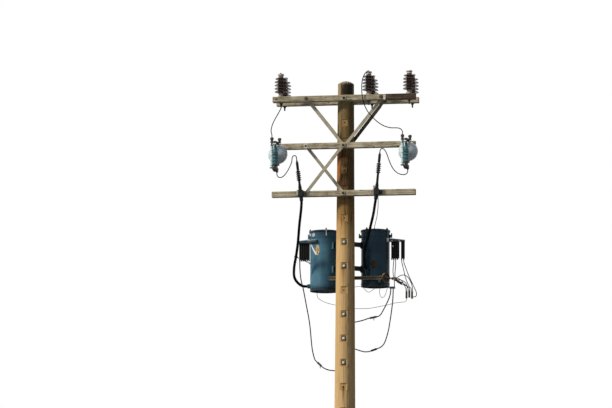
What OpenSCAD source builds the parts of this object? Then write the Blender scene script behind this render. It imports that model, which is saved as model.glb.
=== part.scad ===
// Wooden distribution pole with double top arms, two fused cutouts, two cable heads and a pair of transformers.
// Millimetres. X runs along the arms, Y away from the front, Z up. The origin is the middle of the pole's foot.

/* [Pole] */
// Height of the pole above the ground
pole_h = 9200; // [8800:100:11000]
// Diameter of the pole at its top
pole_top_d = 204; // [196:2:220]
// Diameter of the pole at the ground
pole_foot_d = 330; // [310:5:360]
// Height of the rounded crown
crown_h = 38; // [20:2:60]
// Distance from the top of the pole to its first bolt hole
first_hole = 240; // [220:5:280]
// Distance from one bolt hole to the next
hole_pitch = 305; // [300:1:315]
// Number of bolt holes down the pole
hole_count = 19; // [17:1:22]
// Diameter of the bolt holes
hole_d = 18; // [17:0.5:20]
// Depth of the flats that the arms and washers seat on
flat_depth = 10; // [8:1:13]
// Height of the small flats
flat_h = 90; // [80:5:110]

/* [Through bolts] */
// Diameter of the through bolts
bolt_d = 16; // [14:0.5:16.5]
// Width of the square washers
washer_w = 57; // [45:1:64]
// Thickness of the square washers
washer_t = 5; // [4:0.5:8]
// Width of the square nuts and heads
nut_w = 26; // [24:1:32]
// Thickness of the square nuts and heads
nut_t = 13; // [10:1:16]
// Thread that stands out past the nuts
thread_out = 22; // [10:1:40]

/* [Arms] */
// Length of the arms
arm_len = 1830; // [1800:5:1900]
// Height of the arms
arm_h = 72; // [66:1:80]
// Thickness of the arms, front to back
arm_t = 85; // [80:1:92]
// Width of the bevel along the arms' edges
arm_bevel = 5; // [2:0.5:8]

/* [Braces] */
// Width of the flat braces
brace_w = 40; // [36:1:46]
// How much wider a brace's round ends are than its bar
brace_end_extra = 6; // [3:1:10]
// Thickness of a brace's seats
brace_t = 7; // [6:0.5:8]
// Thickness of a brace's bar and of its flange
brace_bar = 4; // [3:0.5:4]
// How far the flange stands out in front of the bar
brace_flange = 20; // [12:1:26]
// Distance along an arm from the pole to a brace bolt
brace_x = 480; // [460:5:500]
// Diameter of the brace bolts
brace_bolt_d = 12; // [10:0.5:13]

/* [Line insulators] */
// Distance of the left insulators from the arms' left ends
left_in = 100; // [80:5:130]
// Place of the middle insulators along the arms, from the pole
middle_x = 315; // [260:5:360]
// Distance of the right insulators from the arms' right ends
right_in = 82; // [75:1:120]
// Height of an insulator above its arm
insulator_h = 295; // [285:5:330]
// Radius of the top shed
top_shed_r = 73; // [64:1:78]
// Radius of the lower sheds
shed_r = 82; // [74:1:88]
// Distance from one shed to the next
shed_pitch = 42; // [38:1:44]
// Radius of the porcelain core
core_r = 36; // [30:1:42]
// Diameter of the insulators' studs
stud_d = 20; // [16:1:22]

/* [Cutouts] */
// Distance of the cutouts from the arm's ends
cutout_in = 83; // [65:1:105]
// Radius of the domed housing
dome_r = 125; // [118:1:130]
// Depth of the domed housing
dome_depth = 104; // [90:2:110]
// Wall of the domed housing
dome_wall = 9; // [7:1:12]
// Distance from the arm to the back of the domed housing
dome_back = 36; // [30:1:45]
// Radius of the fuse barrel between its sheds
barrel_r = 30; // [26:1:33]
// Radius of the fuse barrel's sheds
barrel_shed_r = 38; // [35:1:40]
// Distance from the arm to the middle of the fuse barrel
barrel_y = 214; // [208:1:225]
// Distance from the hinge pin to the fuse barrel's top
barrel_h = 320; // [310:2:330]
// Diameter of the hinge pin
pin_d = 12; // [10:1:14]
// Clearance round the hinge pin
pin_clear = 0.4; // [0.3:0.1:0.8]
// Radius of the porcelain post beside the fuse barrel
post_r = 19; // [16:1:20]
// Width of the terminal knobs
knob_w = 46; // [40:1:50]

/* [Cable heads] */
// Place of the left cable head along the lower arm
left_head_x = -535; // [-560:1:-535]
// Place of the right cable head along the lower arm
right_head_x = 431; // [400:1:440]
// Distance from the arm's front to the middle of a cable head
head_out = 42; // [38:1:60]
// Height of the left cable head above the arm's middle
left_head_h = 405; // [380:5:450]
// Height of the right cable head above the arm's middle
right_head_h = 480; // [420:5:520]
// Lean of the left cable head away from the pole, in degrees
left_lean = 7; // [0:0.5:8]
// Lean of the right cable head away from the pole, in degrees
right_lean = 5; // [0:0.5:8]
// Radius of the cable heads' body
head_r = 22; // [19:1:23]
// Radius of the cable heads' sheds
head_shed_r = 31; // [26:1:36]
// Diameter of the high-voltage cables
cable_d = 34; // [28:1:38]

/* [Transformers] */
// Distance of the tanks from the middle of the pole, to each side
tank_x = 325; // [320:1:345]
// Distance of the tanks behind the middle of the pole
tank_y = 370; // [360:1:400]
// Diameter of the left tank
left_tank_d = 376; // [360:2:384]
// Diameter of the right tank
right_tank_d = 362; // [350:2:376]
// Height of the left tank below its lid
left_tank_h = 750; // [700:5:800]
// Height of the right tank below its lid
right_tank_h = 700; // [660:5:760]
// Height of the lids' underside above the upper bracket's bolt
lid_over_bolt = 180; // [130:5:240]
// How far a lid stands out round its tank
lid_lip = 9; // [6:1:14]
// Thickness of the lids' rims
lid_t = 22; // [16:1:30]
// Rise of the lids' domed middle
lid_rise = 20; // [8:1:32]
// Distance from the lids' underside down to the terminal hoods
hood_drop = 84; // [84:2:140]
// Distance from the left tank to its outermost bushing
left_hood = 134; // [134:2:170]
// Distance from the right tank to its outermost bushing
right_hood = 186; // [186:2:220]
// Diameter of the low-voltage bushings
bushing_d = 21; // [16:1:22]
// Length of the low-voltage bushings below their collars
bushing_h = 210; // [150:5:210]

/* [Service arm] */
// Distance from the top of the pole to the service arm's top
service_drop = 2480; // [2460:5:2500]
// Reach of the service arm to the left of the pole's middle
service_left = 235; // [180:5:260]
// Reach of the service arm to the right of the pole's middle
service_right = 470; // [440:5:480]
// Width of the service arm's two flanges
service_w = 45; // [38:1:50]
// Thickness of the service arm's steel
service_t = 5; // [4:0.5:7]
// Diameter of the dead-end plate on the service arm
plate_d = 122; // [100:2:130]
// Height of the spools behind the pole
spool_h = 75; // [66:1:82]
// Radius of the spools behind the pole
spool_r = 38; // [32:1:42]

/* [Hidden] */
$fn = 64;
fit = 0.3;
bevel_reach = 400;
first_hole_z = pole_h - first_hole;

function pole_r(z) = pole_top_d / 2 + (pole_foot_d - pole_top_d) / 2 * (pole_h - z) / pole_h;
function hole_z(k) = first_hole_z - k * hole_pitch;
function seat_y(k) = pole_r(hole_z(k)) - flat_depth;

// Bolt holes that carry something, by their number from the top
top_hole = 0;
middle_hole = 2;
lower_hole = 4;
bracket_holes = [6, 7];
spool_holes = [9, 10, 11];

// Rear faces of the three arm levels, as distances from the pole's middle
top_seat = seat_y(top_hole);
middle_seat = seat_y(middle_hole) + 2 * brace_t;
lower_seat = seat_y(lower_hole) + brace_t;
top_front = top_seat + arm_t;
middle_front = middle_seat + arm_t;
lower_front = lower_seat + arm_t;
top_z = hole_z(top_hole);
middle_z = hole_z(middle_hole);
lower_z = hole_z(lower_hole);
arm_top = top_z + arm_h / 2;
insulator_y = top_seat + arm_t / 2;
insulator_xs = [left_in - arm_len / 2, middle_x, arm_len / 2 - right_in];
cutout_x = arm_len / 2 - cutout_in;
bolt_head = 4;

// How far the flats reach up where braces come in, and how far in from its ends a brace's flange starts
brace_flat = 110;
flange_in = 90;

module along_y(y0, y1, d) {
    translate([0, y0, 0]) rotate([-90, 0, 0]) cylinder(h = y1 - y0, d = d);
}

module box(x0, x1, y0, y1, z0, z1) {
    translate([x0, y0, z0]) cube([x1 - x0, y1 - y0, z1 - z0]);
}

// Pole with its crown, flats and bolt holes
module flat_cut(k, side, low, high) {
    near = seat_y(k);
    translate([0, 0, hole_z(k)])
        box(-bevel_reach / 2, bevel_reach / 2,
            side > 0 ? near : -near - bevel_reach, side > 0 ? near + bevel_reach : -near,
            -low, high);
}

module pole() {
    crown_r = (pole_top_d * pole_top_d / 4 + crown_h * crown_h) / (2 * crown_h);
    half_arm = arm_h / 2;
    color("peru") difference() {
        intersection() {
            cylinder(h = pole_h, d1 = pole_foot_d, d2 = pole_top_d, $fn = 96);
            union() {
                translate([0, 0, pole_h - crown_r]) sphere(crown_r, $fn = 96);
                cylinder(h = pole_h - crown_h, d = 2 * pole_foot_d);
            }
        }
        for (k = [0 : hole_count - 1]) {
            translate([0, 0, hole_z(k)]) along_y(-bevel_reach, bevel_reach, hole_d);
            if (k == top_hole) flat_cut(k, -1, half_arm, half_arm);
            else if (k == middle_hole) flat_cut(k, -1, half_arm, brace_flat);
            else if (k == lower_hole) flat_cut(k, -1, half_arm, brace_flat);
            else flat_cut(k, -1, flat_h / 2, flat_h / 2);
        }
        flat_cut(top_hole, 1, half_arm, half_arm);
        flat_cut(middle_hole, 1, half_arm, brace_flat);
        flat_cut(lower_hole, 1, flat_h / 2, flat_h / 2);
        for (k = bracket_holes) flat_cut(k, 1, flat_h / 2, flat_h / 2);
        for (x = lag_xs) translate([x, 0, service_z]) along_y(service_y - lag_in - 1, bevel_reach, lag_d + 2 * fit);
    }
}

// Through bolts with square washers at both ends
module bolt_end(y, side, out) {
    translate([0, y, 0]) scale([1, side, 1]) {
        box(-washer_w / 2, washer_w / 2, 0, washer_t, -washer_w / 2, washer_w / 2);
        box(-nut_w / 2, nut_w / 2, washer_t, washer_t + nut_t, -nut_w / 2, nut_w / 2);
        along_y(washer_t + nut_t, washer_t + nut_t + out, bolt_d);
    }
}

module through_bolt(k, front, rear, front_out = bolt_head, rear_out = thread_out) {
    translate([0, 0, hole_z(k)]) {
        along_y(-front, rear, bolt_d);
        bolt_end(-front, -1, front_out);
        bolt_end(rear, 1, rear_out);
    }
}

bracket_t = 10;
module through_bolts() {
    color("silver") {
        through_bolt(top_hole, top_front, top_front);
        through_bolt(middle_hole, middle_front + brace_t, seat_y(middle_hole) + 2 * brace_t);
        through_bolt(lower_hole, lower_front, seat_y(lower_hole));
        for (k = bracket_holes) through_bolt(k, seat_y(k), seat_y(k) + bracket_t);
        for (k = spool_holes) through_bolt(k, seat_y(k), rack_y + rack_t);
    }
}

// Arms, with the holes of their bolts and studs
module arm(near, side, z, studs, brace_xs) {
    y0 = side > 0 ? near : -near - arm_t;
    color("tan") difference() {
        translate([-arm_len / 2, y0, z - arm_h / 2]) rotate([90, 0, 90]) linear_extrude(arm_len)
            polygon([
                [arm_bevel, 0], [arm_t - arm_bevel, 0], [arm_t, arm_bevel],
                [arm_t, arm_h - arm_bevel], [arm_t - arm_bevel, arm_h],
                [arm_bevel, arm_h], [0, arm_h - arm_bevel], [0, arm_bevel]
            ]);
        translate([0, 0, z]) along_y(-bevel_reach, bevel_reach, hole_d);
        for (x = studs) translate([x, side * insulator_y, z]) cylinder(h = 2 * arm_h, d = stud_d + 2, center = true);
        for (x = brace_xs) translate([x, 0, z]) along_y(-bevel_reach, bevel_reach, brace_bolt_d + 2);
    }
}

module front_top_arm() { arm(top_seat, -1, top_z, insulator_xs, [-brace_x, brace_x]); }
module rear_top_arm() { arm(top_seat, 1, top_z, insulator_xs, [-brace_x, brace_x]); }
module middle_arm() { arm(middle_seat, -1, middle_z, [], [-brace_x, -cutout_x, cutout_x]); }
module lower_arm() { arm(lower_seat, -1, lower_z, [], [-brace_x, brace_x]); }

// Flat brace with two round seats, a bar between them and a flange along the bar
module brace(a, b) {
    run = b - a;
    span = norm(run);
    dir = run / span;
    across = [-dir.z, 0, dir.x] / norm([dir.x, 0, dir.z]);
    out = cross(dir, across);
    difference() {
        union() {
            for (p = [a, b]) translate(p) along_y(-brace_t / 2, brace_t / 2, brace_w + brace_end_extra);
            multmatrix([
                [dir.x, across.x, out.x, a.x],
                [dir.y, across.y, out.y, a.y],
                [dir.z, across.z, out.z, a.z]
            ]) {
                box(0, span, -brace_w / 2, brace_w / 2, -brace_bar / 2, brace_bar / 2);
                flange = out.y < 0 ? [0, brace_flange] : [-brace_flange, 0];
                box(flange_in, span - flange_in, brace_w / 2 - brace_bar, brace_w / 2, flange[0], flange[1]);
            }
        }
        translate(a) along_y(-50, 50, a.x == 0 ? hole_d : brace_bolt_d + 2);
        translate(b) along_y(-50, 50, b.x == 0 ? hole_d : brace_bolt_d + 2);
    }
}

front_arm_back = -top_seat + brace_t / 2;
pole_layer_1 = -seat_y(middle_hole) - brace_t / 2;
pole_layer_2 = pole_layer_1 - brace_t;
module front_left_brace() {
    color("lightgray") brace([-brace_x, front_arm_back, top_z], [0, pole_layer_1, middle_z]);
}
module front_right_brace() {
    color("lightgray") brace([brace_x, front_arm_back, top_z], [0, pole_layer_2, middle_z]);
}
module rear_left_brace() { mirror([0, 1, 0]) front_left_brace(); }
module rear_right_brace() { mirror([0, 1, 0]) front_right_brace(); }
module middle_arm_brace() {
    color("lightgray") brace([-brace_x, -middle_seat + brace_t / 2, middle_z],
        [0, -seat_y(lower_hole) - brace_t / 2, lower_z]);
}
module lower_arm_brace() {
    color("lightgray") brace([0, -middle_front - brace_t / 2, middle_z],
        [-brace_x, -lower_front - brace_t / 2, lower_z]);
}

// Bolts that hold the braces' outer ends to the arms
module brace_bolt(x, z, front, rear) {
    translate([x, 0, z]) {
        along_y(front, rear, brace_bolt_d);
        along_y(front - 6, front, 2.4 * brace_bolt_d);
        translate([-10, rear, -10]) cube([20, 10, 20]);
        along_y(rear + 10, rear + 18, brace_bolt_d);
    }
}

module brace_bolts() {
    color("silver") {
        for (x = [-brace_x, brace_x]) {
            brace_bolt(x, top_z, -top_front, -top_seat + brace_t);
            mirror([0, 1, 0]) brace_bolt(x, top_z, -top_front, -top_seat + brace_t);
        }
        brace_bolt(-brace_x, middle_z, -middle_front, -middle_seat + brace_t);
        brace_bolt(-brace_x, lower_z, -lower_front - brace_t, -lower_seat);
        brace_bolt(brace_x, lower_z, -lower_front - strap_t, -lower_seat);
    }
}

// Line insulators: a metal foot with a stud through the arm, and a body with five sheds
foot_h = 42;
module insulator_pin(x, y) {
    translate([x, y, arm_top]) {
        cylinder(h = 12, d = 74);
        cylinder(h = foot_h, d = 56);
        translate([0, 0, -arm_h - 58]) cylinder(h = arm_h + 58, d = stud_d);
        translate([-25, -25, -arm_h - 5]) cube([50, 50, 5]);
        translate([0, 0, -arm_h - 22]) cylinder(h = 17, d = 34, $fn = 6);
    }
}

module insulator_pins() {
    color("lightgray") for (x = insulator_xs, side = [-1, 1]) insulator_pin(x, side * insulator_y);
}

first_shed_z = insulator_h - 57;
module insulator_body(x, y) {
    sheds = [for (i = [4 : -1 : 0]) each
        let (z = first_shed_z - i * shed_pitch, r = i == 0 ? top_shed_r : shed_r) [
            [core_r, z - 10], [core_r + 8, z - 6], [r - 9, z - 7], [r - 7, z - 10],
            [r - 2, z - 9], [r, z - 5], [r - 4, z], [core_r + 6, z + 14], [core_r, z + 20]
        ]];
    neck_z = first_shed_z + 20;
    color("saddlebrown") translate([x, y, arm_top]) difference() {
        rotate_extrude() polygon(concat(
            [[0, foot_h], [core_r, foot_h]], sheds,
            [
                [core_r, neck_z + 1], [25, neck_z + 4], [23, neck_z + 12], [25, neck_z + 18],
                [34, neck_z + 21], [35, neck_z + 30], [28, insulator_h - 1], [20, insulator_h],
                [0, insulator_h]
            ]));
        translate([0, 0, insulator_h + 3]) along_y(-60, 60, 22);
    }
}

module left_front_insulator() { insulator_body(insulator_xs[0], -insulator_y); }
module left_rear_insulator() { insulator_body(insulator_xs[0], insulator_y); }
module middle_front_insulator() { insulator_body(insulator_xs[1], -insulator_y); }
module middle_rear_insulator() { insulator_body(insulator_xs[1], insulator_y); }
module right_front_insulator() { insulator_body(insulator_xs[2], -insulator_y); }
module right_rear_insulator() { insulator_body(insulator_xs[2], insulator_y); }

// Cutouts, drawn about the place where a cutout's hanger meets the arm, with -Y outwards
dome_z = -106;
hinge_z = -322;
pin_y = barrel_y + 14;
cheek_gap = 22;
cheek_t = 7;
seat_z = 26;
seat_t = 8;
post_x = -52;
post_y = barrel_y - 49;
post_foot_z = hinge_z + 30;
knob_x = [post_x, 34];
knob_y = [post_y, dome_back + 64];
pad = 18;
module at_cutout(side) { translate([side * cutout_x, -middle_front, middle_z]) children(); }

module cutout_dome() {
    arc = 10;
    outer = [for (i = [0 : arc]) let (t = 90 * i / arc) [dome_r * cos(t), dome_depth * sin(t)]];
    inner = [for (i = [arc : -1 : 0]) let (t = 90 * i / arc)
        [(dome_r - dome_wall) * cos(t), (dome_depth - dome_wall) * sin(t)]];
    color("white") {
        translate([0, -dome_back, dome_z]) rotate([90, 0, 0]) {
            rotate_extrude($fn = 96) polygon(concat(outer, inner));
            cylinder(h = dome_depth - dome_wall + 2, d = 60);
        }
        translate([post_x, -post_y, 0]) cutout_post();
    }
}

// Ribbed porcelain post between the latch's arm and the hinge's foot
module cutout_post() {
    low = post_foot_z;
    gap = (seat_z - low) / 5;
    ribs = [for (i = [0 : 4]) each let (z = low + (i + 0.5) * gap) [
        [post_r, z - 12], [post_r + 4, z - 3], [post_r + 4, z + 3], [post_r, z + 12]
    ]];
    rotate_extrude() polygon(concat([[0, low], [post_r, low]], ribs, [[post_r, seat_z], [0, seat_z]]));
}

module cutout_frame() {
    color("dimgray") difference() {
        union() {
            // hanger plate on the arm, and the stud that carries the housing
            box(-24, 24, -8, 0, dome_z - 32, arm_h / 2 - 4);
            translate([0, 0, dome_z]) along_y(-dome_back, -8, 34);
            // upper arm over the housing, with the contact that the fuse latches in
            box(-17, 17, -dome_back - 42, -8, seat_z - 4, seat_z + seat_t);
            box(-17, 17, -barrel_y - 26, -dome_back - 34, seat_z, seat_z + seat_t);
            box(-17, 17, -barrel_y - 26, -barrel_y + 18, 10, seat_z + 4);
            // seats of the two terminal knobs, over the post and over the housing
            box(knob_x[0] - pad - 4, 0, -knob_y[0] - pad, -knob_y[0] + pad, seat_z, seat_z + seat_t);
            box(0, knob_x[1] + pad, -knob_y[1] - pad, -knob_y[1] + pad, seat_z, seat_z + seat_t);
            // horns that a hook is set on to pull the fuse open
            for (s = [-1, 1]) scale([s, 1, 1]) {
                box(14, 46, -barrel_y - 22, -barrel_y - 10, 14, 26);
                translate([46, -barrel_y - 16, -20]) cylinder(h = 46, d = 13);
                translate([46, -barrel_y - 16, -22]) sphere(8, $fn = 32);
            }
            // foot of the post
            box(post_x - pad - 4, cheek_gap - 2, -post_y - pad, -dome_back - 99, post_foot_z - 10, post_foot_z);
            // lower arm under the housing, with the cheeks of the hinge
            box(-17, 17, -dome_back + 4, -8, dome_z - dome_r - 18, dome_z - 30);
            box(-17, 17, -dome_back - 100, -8, dome_z - dome_r - 18, dome_z - dome_r - 8);
            box(-17, 17, -dome_back - 100, -dome_back - 90, hinge_z - 22, dome_z - dome_r - 8);
            box(-cheek_gap - cheek_t, cheek_gap + cheek_t, -dome_back - 110, -dome_back - 98,
                hinge_z - 22, hinge_z + 22);
            for (s = [-1, 1]) scale([s, 1, 1]) {
                box(cheek_gap, cheek_gap + cheek_t, -pin_y, -dome_back - 100, hinge_z - 18, hinge_z + 18);
                translate([cheek_gap, -pin_y, hinge_z]) rotate([0, 90, 0]) cylinder(h = cheek_t, d = 36);
            }
            // terminal of the lower lead
            box(2, 22, -dome_back - 128, -dome_back - 98, hinge_z - 34, hinge_z - 10);
        }
        translate([-60, -pin_y, hinge_z]) rotate([0, 90, 0]) cylinder(h = 120, d = pin_d + 2 * pin_clear);
        along_y(-20, 20, brace_bolt_d + 2);
    }
}

module knob(x, y) {
    translate([x, -y, seat_z + seat_t]) rotate_extrude() polygon([
        [0, 0], [17, 0], [18, 14], [15, 18], [15, 24], [knob_w / 2, 28],
        [knob_w / 2, 48], [19, 56], [8, 58], [0, 58]
    ]);
}

module cutout_knobs() {
    color("saddlebrown") {
        knob(knob_x[0], knob_y[0]);
        knob(knob_x[1], knob_y[1]);
    }
}

// Bolts that hold the cutouts to the middle arm
module cutout_bolts() {
    color("silver") for (s = [-1, 1]) translate([s * cutout_x, 0, middle_z]) {
        along_y(-middle_front - 8, -middle_seat, brace_bolt_d);
        along_y(-middle_front - 17, -middle_front - 8, 2.2 * brace_bolt_d);
        box(-24, 24, -middle_seat, -middle_seat + 4, -24, 24);
        box(-10, 10, -middle_seat + 4, -middle_seat + 14, -10, 10);
        along_y(-middle_seat + 14, -middle_seat + 26, brace_bolt_d);
    }
}

module fuse() {
    low = hinge_z + 44;
    top = hinge_z + barrel_h;
    neck = top - 108;
    shed_gap = (neck - low) / 4;
    sheds = [for (i = [0 : 3]) each let (z = low + (i + 0.5) * shed_gap) [
        [barrel_r, z - 10], [barrel_shed_r - 2, z - 4], [barrel_shed_r, z - 1],
        [barrel_shed_r - 3, z + 3], [barrel_r, z + 12]
    ]];
    color("teal") {
        translate([0, -barrel_y, 0]) rotate_extrude() polygon(concat(
            [[0, low - 6], [barrel_r - 6, low - 6], [barrel_r, low]], sheds,
            [[barrel_r, neck], [barrel_r - 6, neck + 12], [17, neck + 56], [14, top - 14],
             [14, top - 2], [12, top], [0, top]]
        ));
        // foot between the hinge's cheeks, with its pin
        box(-cheek_gap + 3, cheek_gap - 3, -pin_y, -barrel_y + 24, hinge_z - 4, low);
        translate([-cheek_gap + 3, -pin_y, hinge_z]) rotate([0, 90, 0]) cylinder(h = 2 * cheek_gap - 6, d = 34);
        translate([-cheek_gap - cheek_t - 5, -pin_y, hinge_z]) rotate([0, 90, 0])
            cylinder(h = 2 * (cheek_gap + cheek_t + 5), d = pin_d);
    }
}

module left_cutout_dome() { at_cutout(-1) cutout_dome(); }
module right_cutout_dome() { at_cutout(1) cutout_dome(); }
module left_cutout_frame() { at_cutout(-1) cutout_frame(); }
module right_cutout_frame() { at_cutout(1) cutout_frame(); }
module left_cutout_knobs() { at_cutout(-1) cutout_knobs(); }
module right_cutout_knobs() { at_cutout(1) cutout_knobs(); }
module left_fuse() { at_cutout(-1) fuse(); }
module right_fuse() { at_cutout(1) fuse(); }

// Transformers
lid_z = hole_z(bracket_holes[0]) + lid_over_bolt;
bracket_half = 34;
bracket_pad = 64;
bracket_in = 52;
lug_out = 26;
hoist_out = 34;
base_in = 14;
earth_x = -100;
clamp_turn = [14, 62];
clamp_w = 18;
clamp_t = 6;
function tank_r(side) = (side < 0 ? left_tank_d : right_tank_d) / 2;
function tank_h(side) = side < 0 ? left_tank_h : right_tank_h;
bracket_y = seat_y(bracket_holes[0]) + bracket_t;
bracket_reach = [tank_x - bracket_in, tank_y - bracket_y];
turn = atan2(bracket_reach.y, bracket_reach.x);

module at_tank(side) { translate([side * tank_x, tank_y, lid_z]) children(); }
module towards_pole(side) { rotate([0, 0, side < 0 ? -turn : 180 + turn]) children(); }

module tank(side) {
    r = tank_r(side);
    h = tank_h(side);
    color("steelblue") at_tank(side) {
        difference() {
            union() {
                translate([0, 0, -h]) cylinder(h = h, r = r, $fn = 96);
                translate([0, 0, -h + 26]) rotate_extrude($fn = 96)
                    polygon([[r - 2, 0], [r + 3, 3], [r + 3, 13], [r - 2, 16]]);
                translate([0, 0, -78]) rotate_extrude($fn = 96)
                    polygon([[r - 2, 0], [r + 3, 2], [r + 3, 8], [r - 2, 10]]);
                for (k = bracket_holes) translate([0, 0, hole_z(k) - lid_z]) towards_pole(side)
                    box(r - 20, r + lug_out, -bracket_pad / 2, bracket_pad / 2, -44, 44);
                // hoisting lugs
                for (s = [-1, 1]) scale([s, 1, 1]) {
                    box(r - 10, r + hoist_out, -6, 6, -74, -34);
                    box(r + hoist_out - 14, r + hoist_out, -6, 6, -36, -16);
                }
                cable_gland(side, r);
            }
            translate([0, 0, -h - 1]) cylinder(h = base_in + 1, r = r - 6, $fn = 96);
        }
        // earthing boss under the left tank
        if (side < 0) translate([earth_x, 0, -h - 8]) cylinder(h = base_in + 16, d = 24);
    }
}

// Gland that the high-voltage cable goes into: level on the left tank, leaning up on the right one
gland_d = cable_d + 22;
gland_z = [-678, -550];
gland_turn = [180, 248];
gland_lean = [90, 35];
gland_out = [34, 70];
module cable_gland(side, r) {
    i = side < 0 ? 0 : 1;
    rotate([0, 0, gland_turn[i]]) translate([r, 0, gland_z[i]]) rotate([0, gland_lean[i], 0])
        translate([0, 0, -60]) cylinder(h = gland_out[i] + 60, d = gland_d);
}

module lid(side) {
    r = tank_r(side) + lid_lip;
    dome = [for (i = [0 : 8]) let (x = (r - 8) * (1 - i / 8)) [x, lid_t + lid_rise * (1 - pow(x / (r - 8), 2))]];
    color("slategray") at_tank(side) {
        rotate_extrude($fn = 96)
            polygon(concat([[0, 0], [r - 4, 0], [r, 4], [r, lid_t - 4], [r - 4, lid_t]], dome));
        // clamps that pull the lid down on the tank
        for (t = [0 : 90 : 270]) rotate([0, 0, t + clamp_turn[side < 0 ? 0 : 1]]) {
            box(r - 16, r + clamp_t, -clamp_w / 2, clamp_w / 2, lid_t - 2, lid_t + 8);
            box(r - 1, r + clamp_t, -clamp_w / 2, clamp_w / 2, -64, lid_t + 8);
            box(tank_r(side) + fit, r + clamp_t, -clamp_w / 2, clamp_w / 2, -64, -54);
            translate([r - 8, 0, lid_t + 7]) cylinder(h = 16, d = 12);
        }
    }
}

module left_tank() { tank(-1); }
module right_tank() { tank(1); }
module left_lid() { lid(-1); }
module right_lid() { lid(1); }

module transformer_brackets() {
    color("dimgray") for (k = bracket_holes) translate([0, 0, hole_z(k)]) difference() {
        union() {
            box(-80, 80, seat_y(k), seat_y(k) + bracket_t, -bracket_half, bracket_half);
            for (s = [-1, 1]) translate([s * tank_x, tank_y, 0]) towards_pole(s) {
                far = norm([tank_x - bracket_in, tank_y - seat_y(k) - bracket_t / 2]);
                near = tank_r(s) + lug_out;
                box(near + 4, far, -6, 6, 4 - bracket_half, bracket_half - 4);
                box(near, near + 8, -bracket_pad / 2, bracket_pad / 2, -bracket_half, bracket_half);
            }
        }
        along_y(0, bevel_reach, hole_d);
    }
}

// Cable heads: a covered top, sheds and a tapered body that its clamp holds
head_drop = 40;
shed_n = 5;
head_shed_pitch = 26;
module at_head(side) {
    translate([side < 0 ? left_head_x : right_head_x, -lower_front - head_out, lower_z])
        rotate([0, side < 0 ? -left_lean : right_lean, 0]) children();
}

module cable_head(h) {
    low = h - 240;
    neck = head_r - 7;
    sheds = [for (i = [0 : shed_n - 1]) each let (z = low + i * head_shed_pitch) [
        [neck + 2, z], [head_shed_r, z + 4], [head_shed_r, z + 9], [neck + 2, z + 17]
    ]];
    rotate_extrude() polygon(concat(
        [[0, -head_drop], [head_r - 2, -head_drop], [head_r, -head_drop + 5], [head_r, 76], [neck, 124], [neck, low - 6]],
        sheds,
        [[neck - 1, low + shed_n * head_shed_pitch], [12, low + 160], [11, h - 12], [8, h], [0, h]]
    ));
}

module cable_heads() {
    color("dimgray") {
        at_head(-1) cable_head(left_head_h);
        at_head(1) cable_head(right_head_h);
    }
}

// Clamps of the cable heads, with a strap on the right one to its bolt
clamp_half = 30;
clamp_h = 84;
clamp_front = head_out + head_r + 5;
strap_t = 8;
module cable_clamp(side) {
    x = side < 0 ? left_head_x : right_head_x;
    difference() {
        translate([x, -lower_front, lower_z]) {
            box(-clamp_half, clamp_half, -clamp_front, 0, -clamp_h / 2, clamp_h / 2);
            if (side > 0) box(0, brace_x - x + 20, -strap_t, 0, -20, 20);
        }
        at_head(side) cylinder(h = 3 * clamp_h, r = head_r + fit, center = true);
        translate([brace_x, -lower_front, lower_z]) along_y(-20, 20, brace_bolt_d + 2);
    }
    for (z = [-1, 1]) translate([x, -lower_front - clamp_front, lower_z + z * (clamp_h / 2 - 15)])
        along_y(-6, 0, 16);
}

module cable_clamps() {
    color("dimgray") for (side = [-1, 1]) cable_clamp(side);
}

// Terminal hoods and the low-voltage bushings that hang under them
hood_w = 74;
hood_t = 4;
hood_fall = [18, 28];
hood_low = -44;
hood_end = 14;
bushing_y = -20;
collar_h = 22;
bushings_in = [[120, 96, 72, 48, 24, 0], [152, 128, 104, 80, 26, 0]];
function hood_reach(side) = side < 0 ? left_hood : right_hood;
function bushing_xs(side) = [for (x = bushings_in[side < 0 ? 0 : 1]) hood_reach(side) - x];
module at_hood(side) {
    at_tank(side) scale([side, 1, 1]) translate([tank_r(side), bushing_y, -hood_drop]) children();
}

module terminal_hood(side) {
    out = hood_reach(side) + hood_end;
    fall = hood_fall[side < 0 ? 0 : 1];
    difference() {
        at_hood(side) rotate([90, 0, 0]) {
            linear_extrude(hood_w - 6, center = true)
                polygon([[-30, 0], [out - 4, -fall], [out - 4, hood_low], [-30, hood_low]]);
            linear_extrude(hood_w, center = true)
                polygon([[-30, 3], [out, 3 - fall], [out, 3 - fall - hood_t], [-30, 3 - hood_t]]);
        }
        at_tank(side) cylinder(h = 3 * bevel_reach, r = tank_r(side) + fit, center = true, $fn = 96);
    }
}

module terminal_hoods() {
    color("slategray") for (side = [-1, 1]) terminal_hood(side);
}

module low_voltage_bushings() {
    r = bushing_d / 2;
    low = -collar_h - bushing_h;
    color("dimgray") for (side = [-1, 1], x = bushing_xs(side))
        at_hood(side) translate([x, 0, hood_low]) rotate_extrude($fn = 32)
            polygon([[0, low], [r - 2, low], [r - 1, low + 12], [r - 1, -collar_h], [r, -collar_h], [r, 0], [0, 0]]);
}

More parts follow.
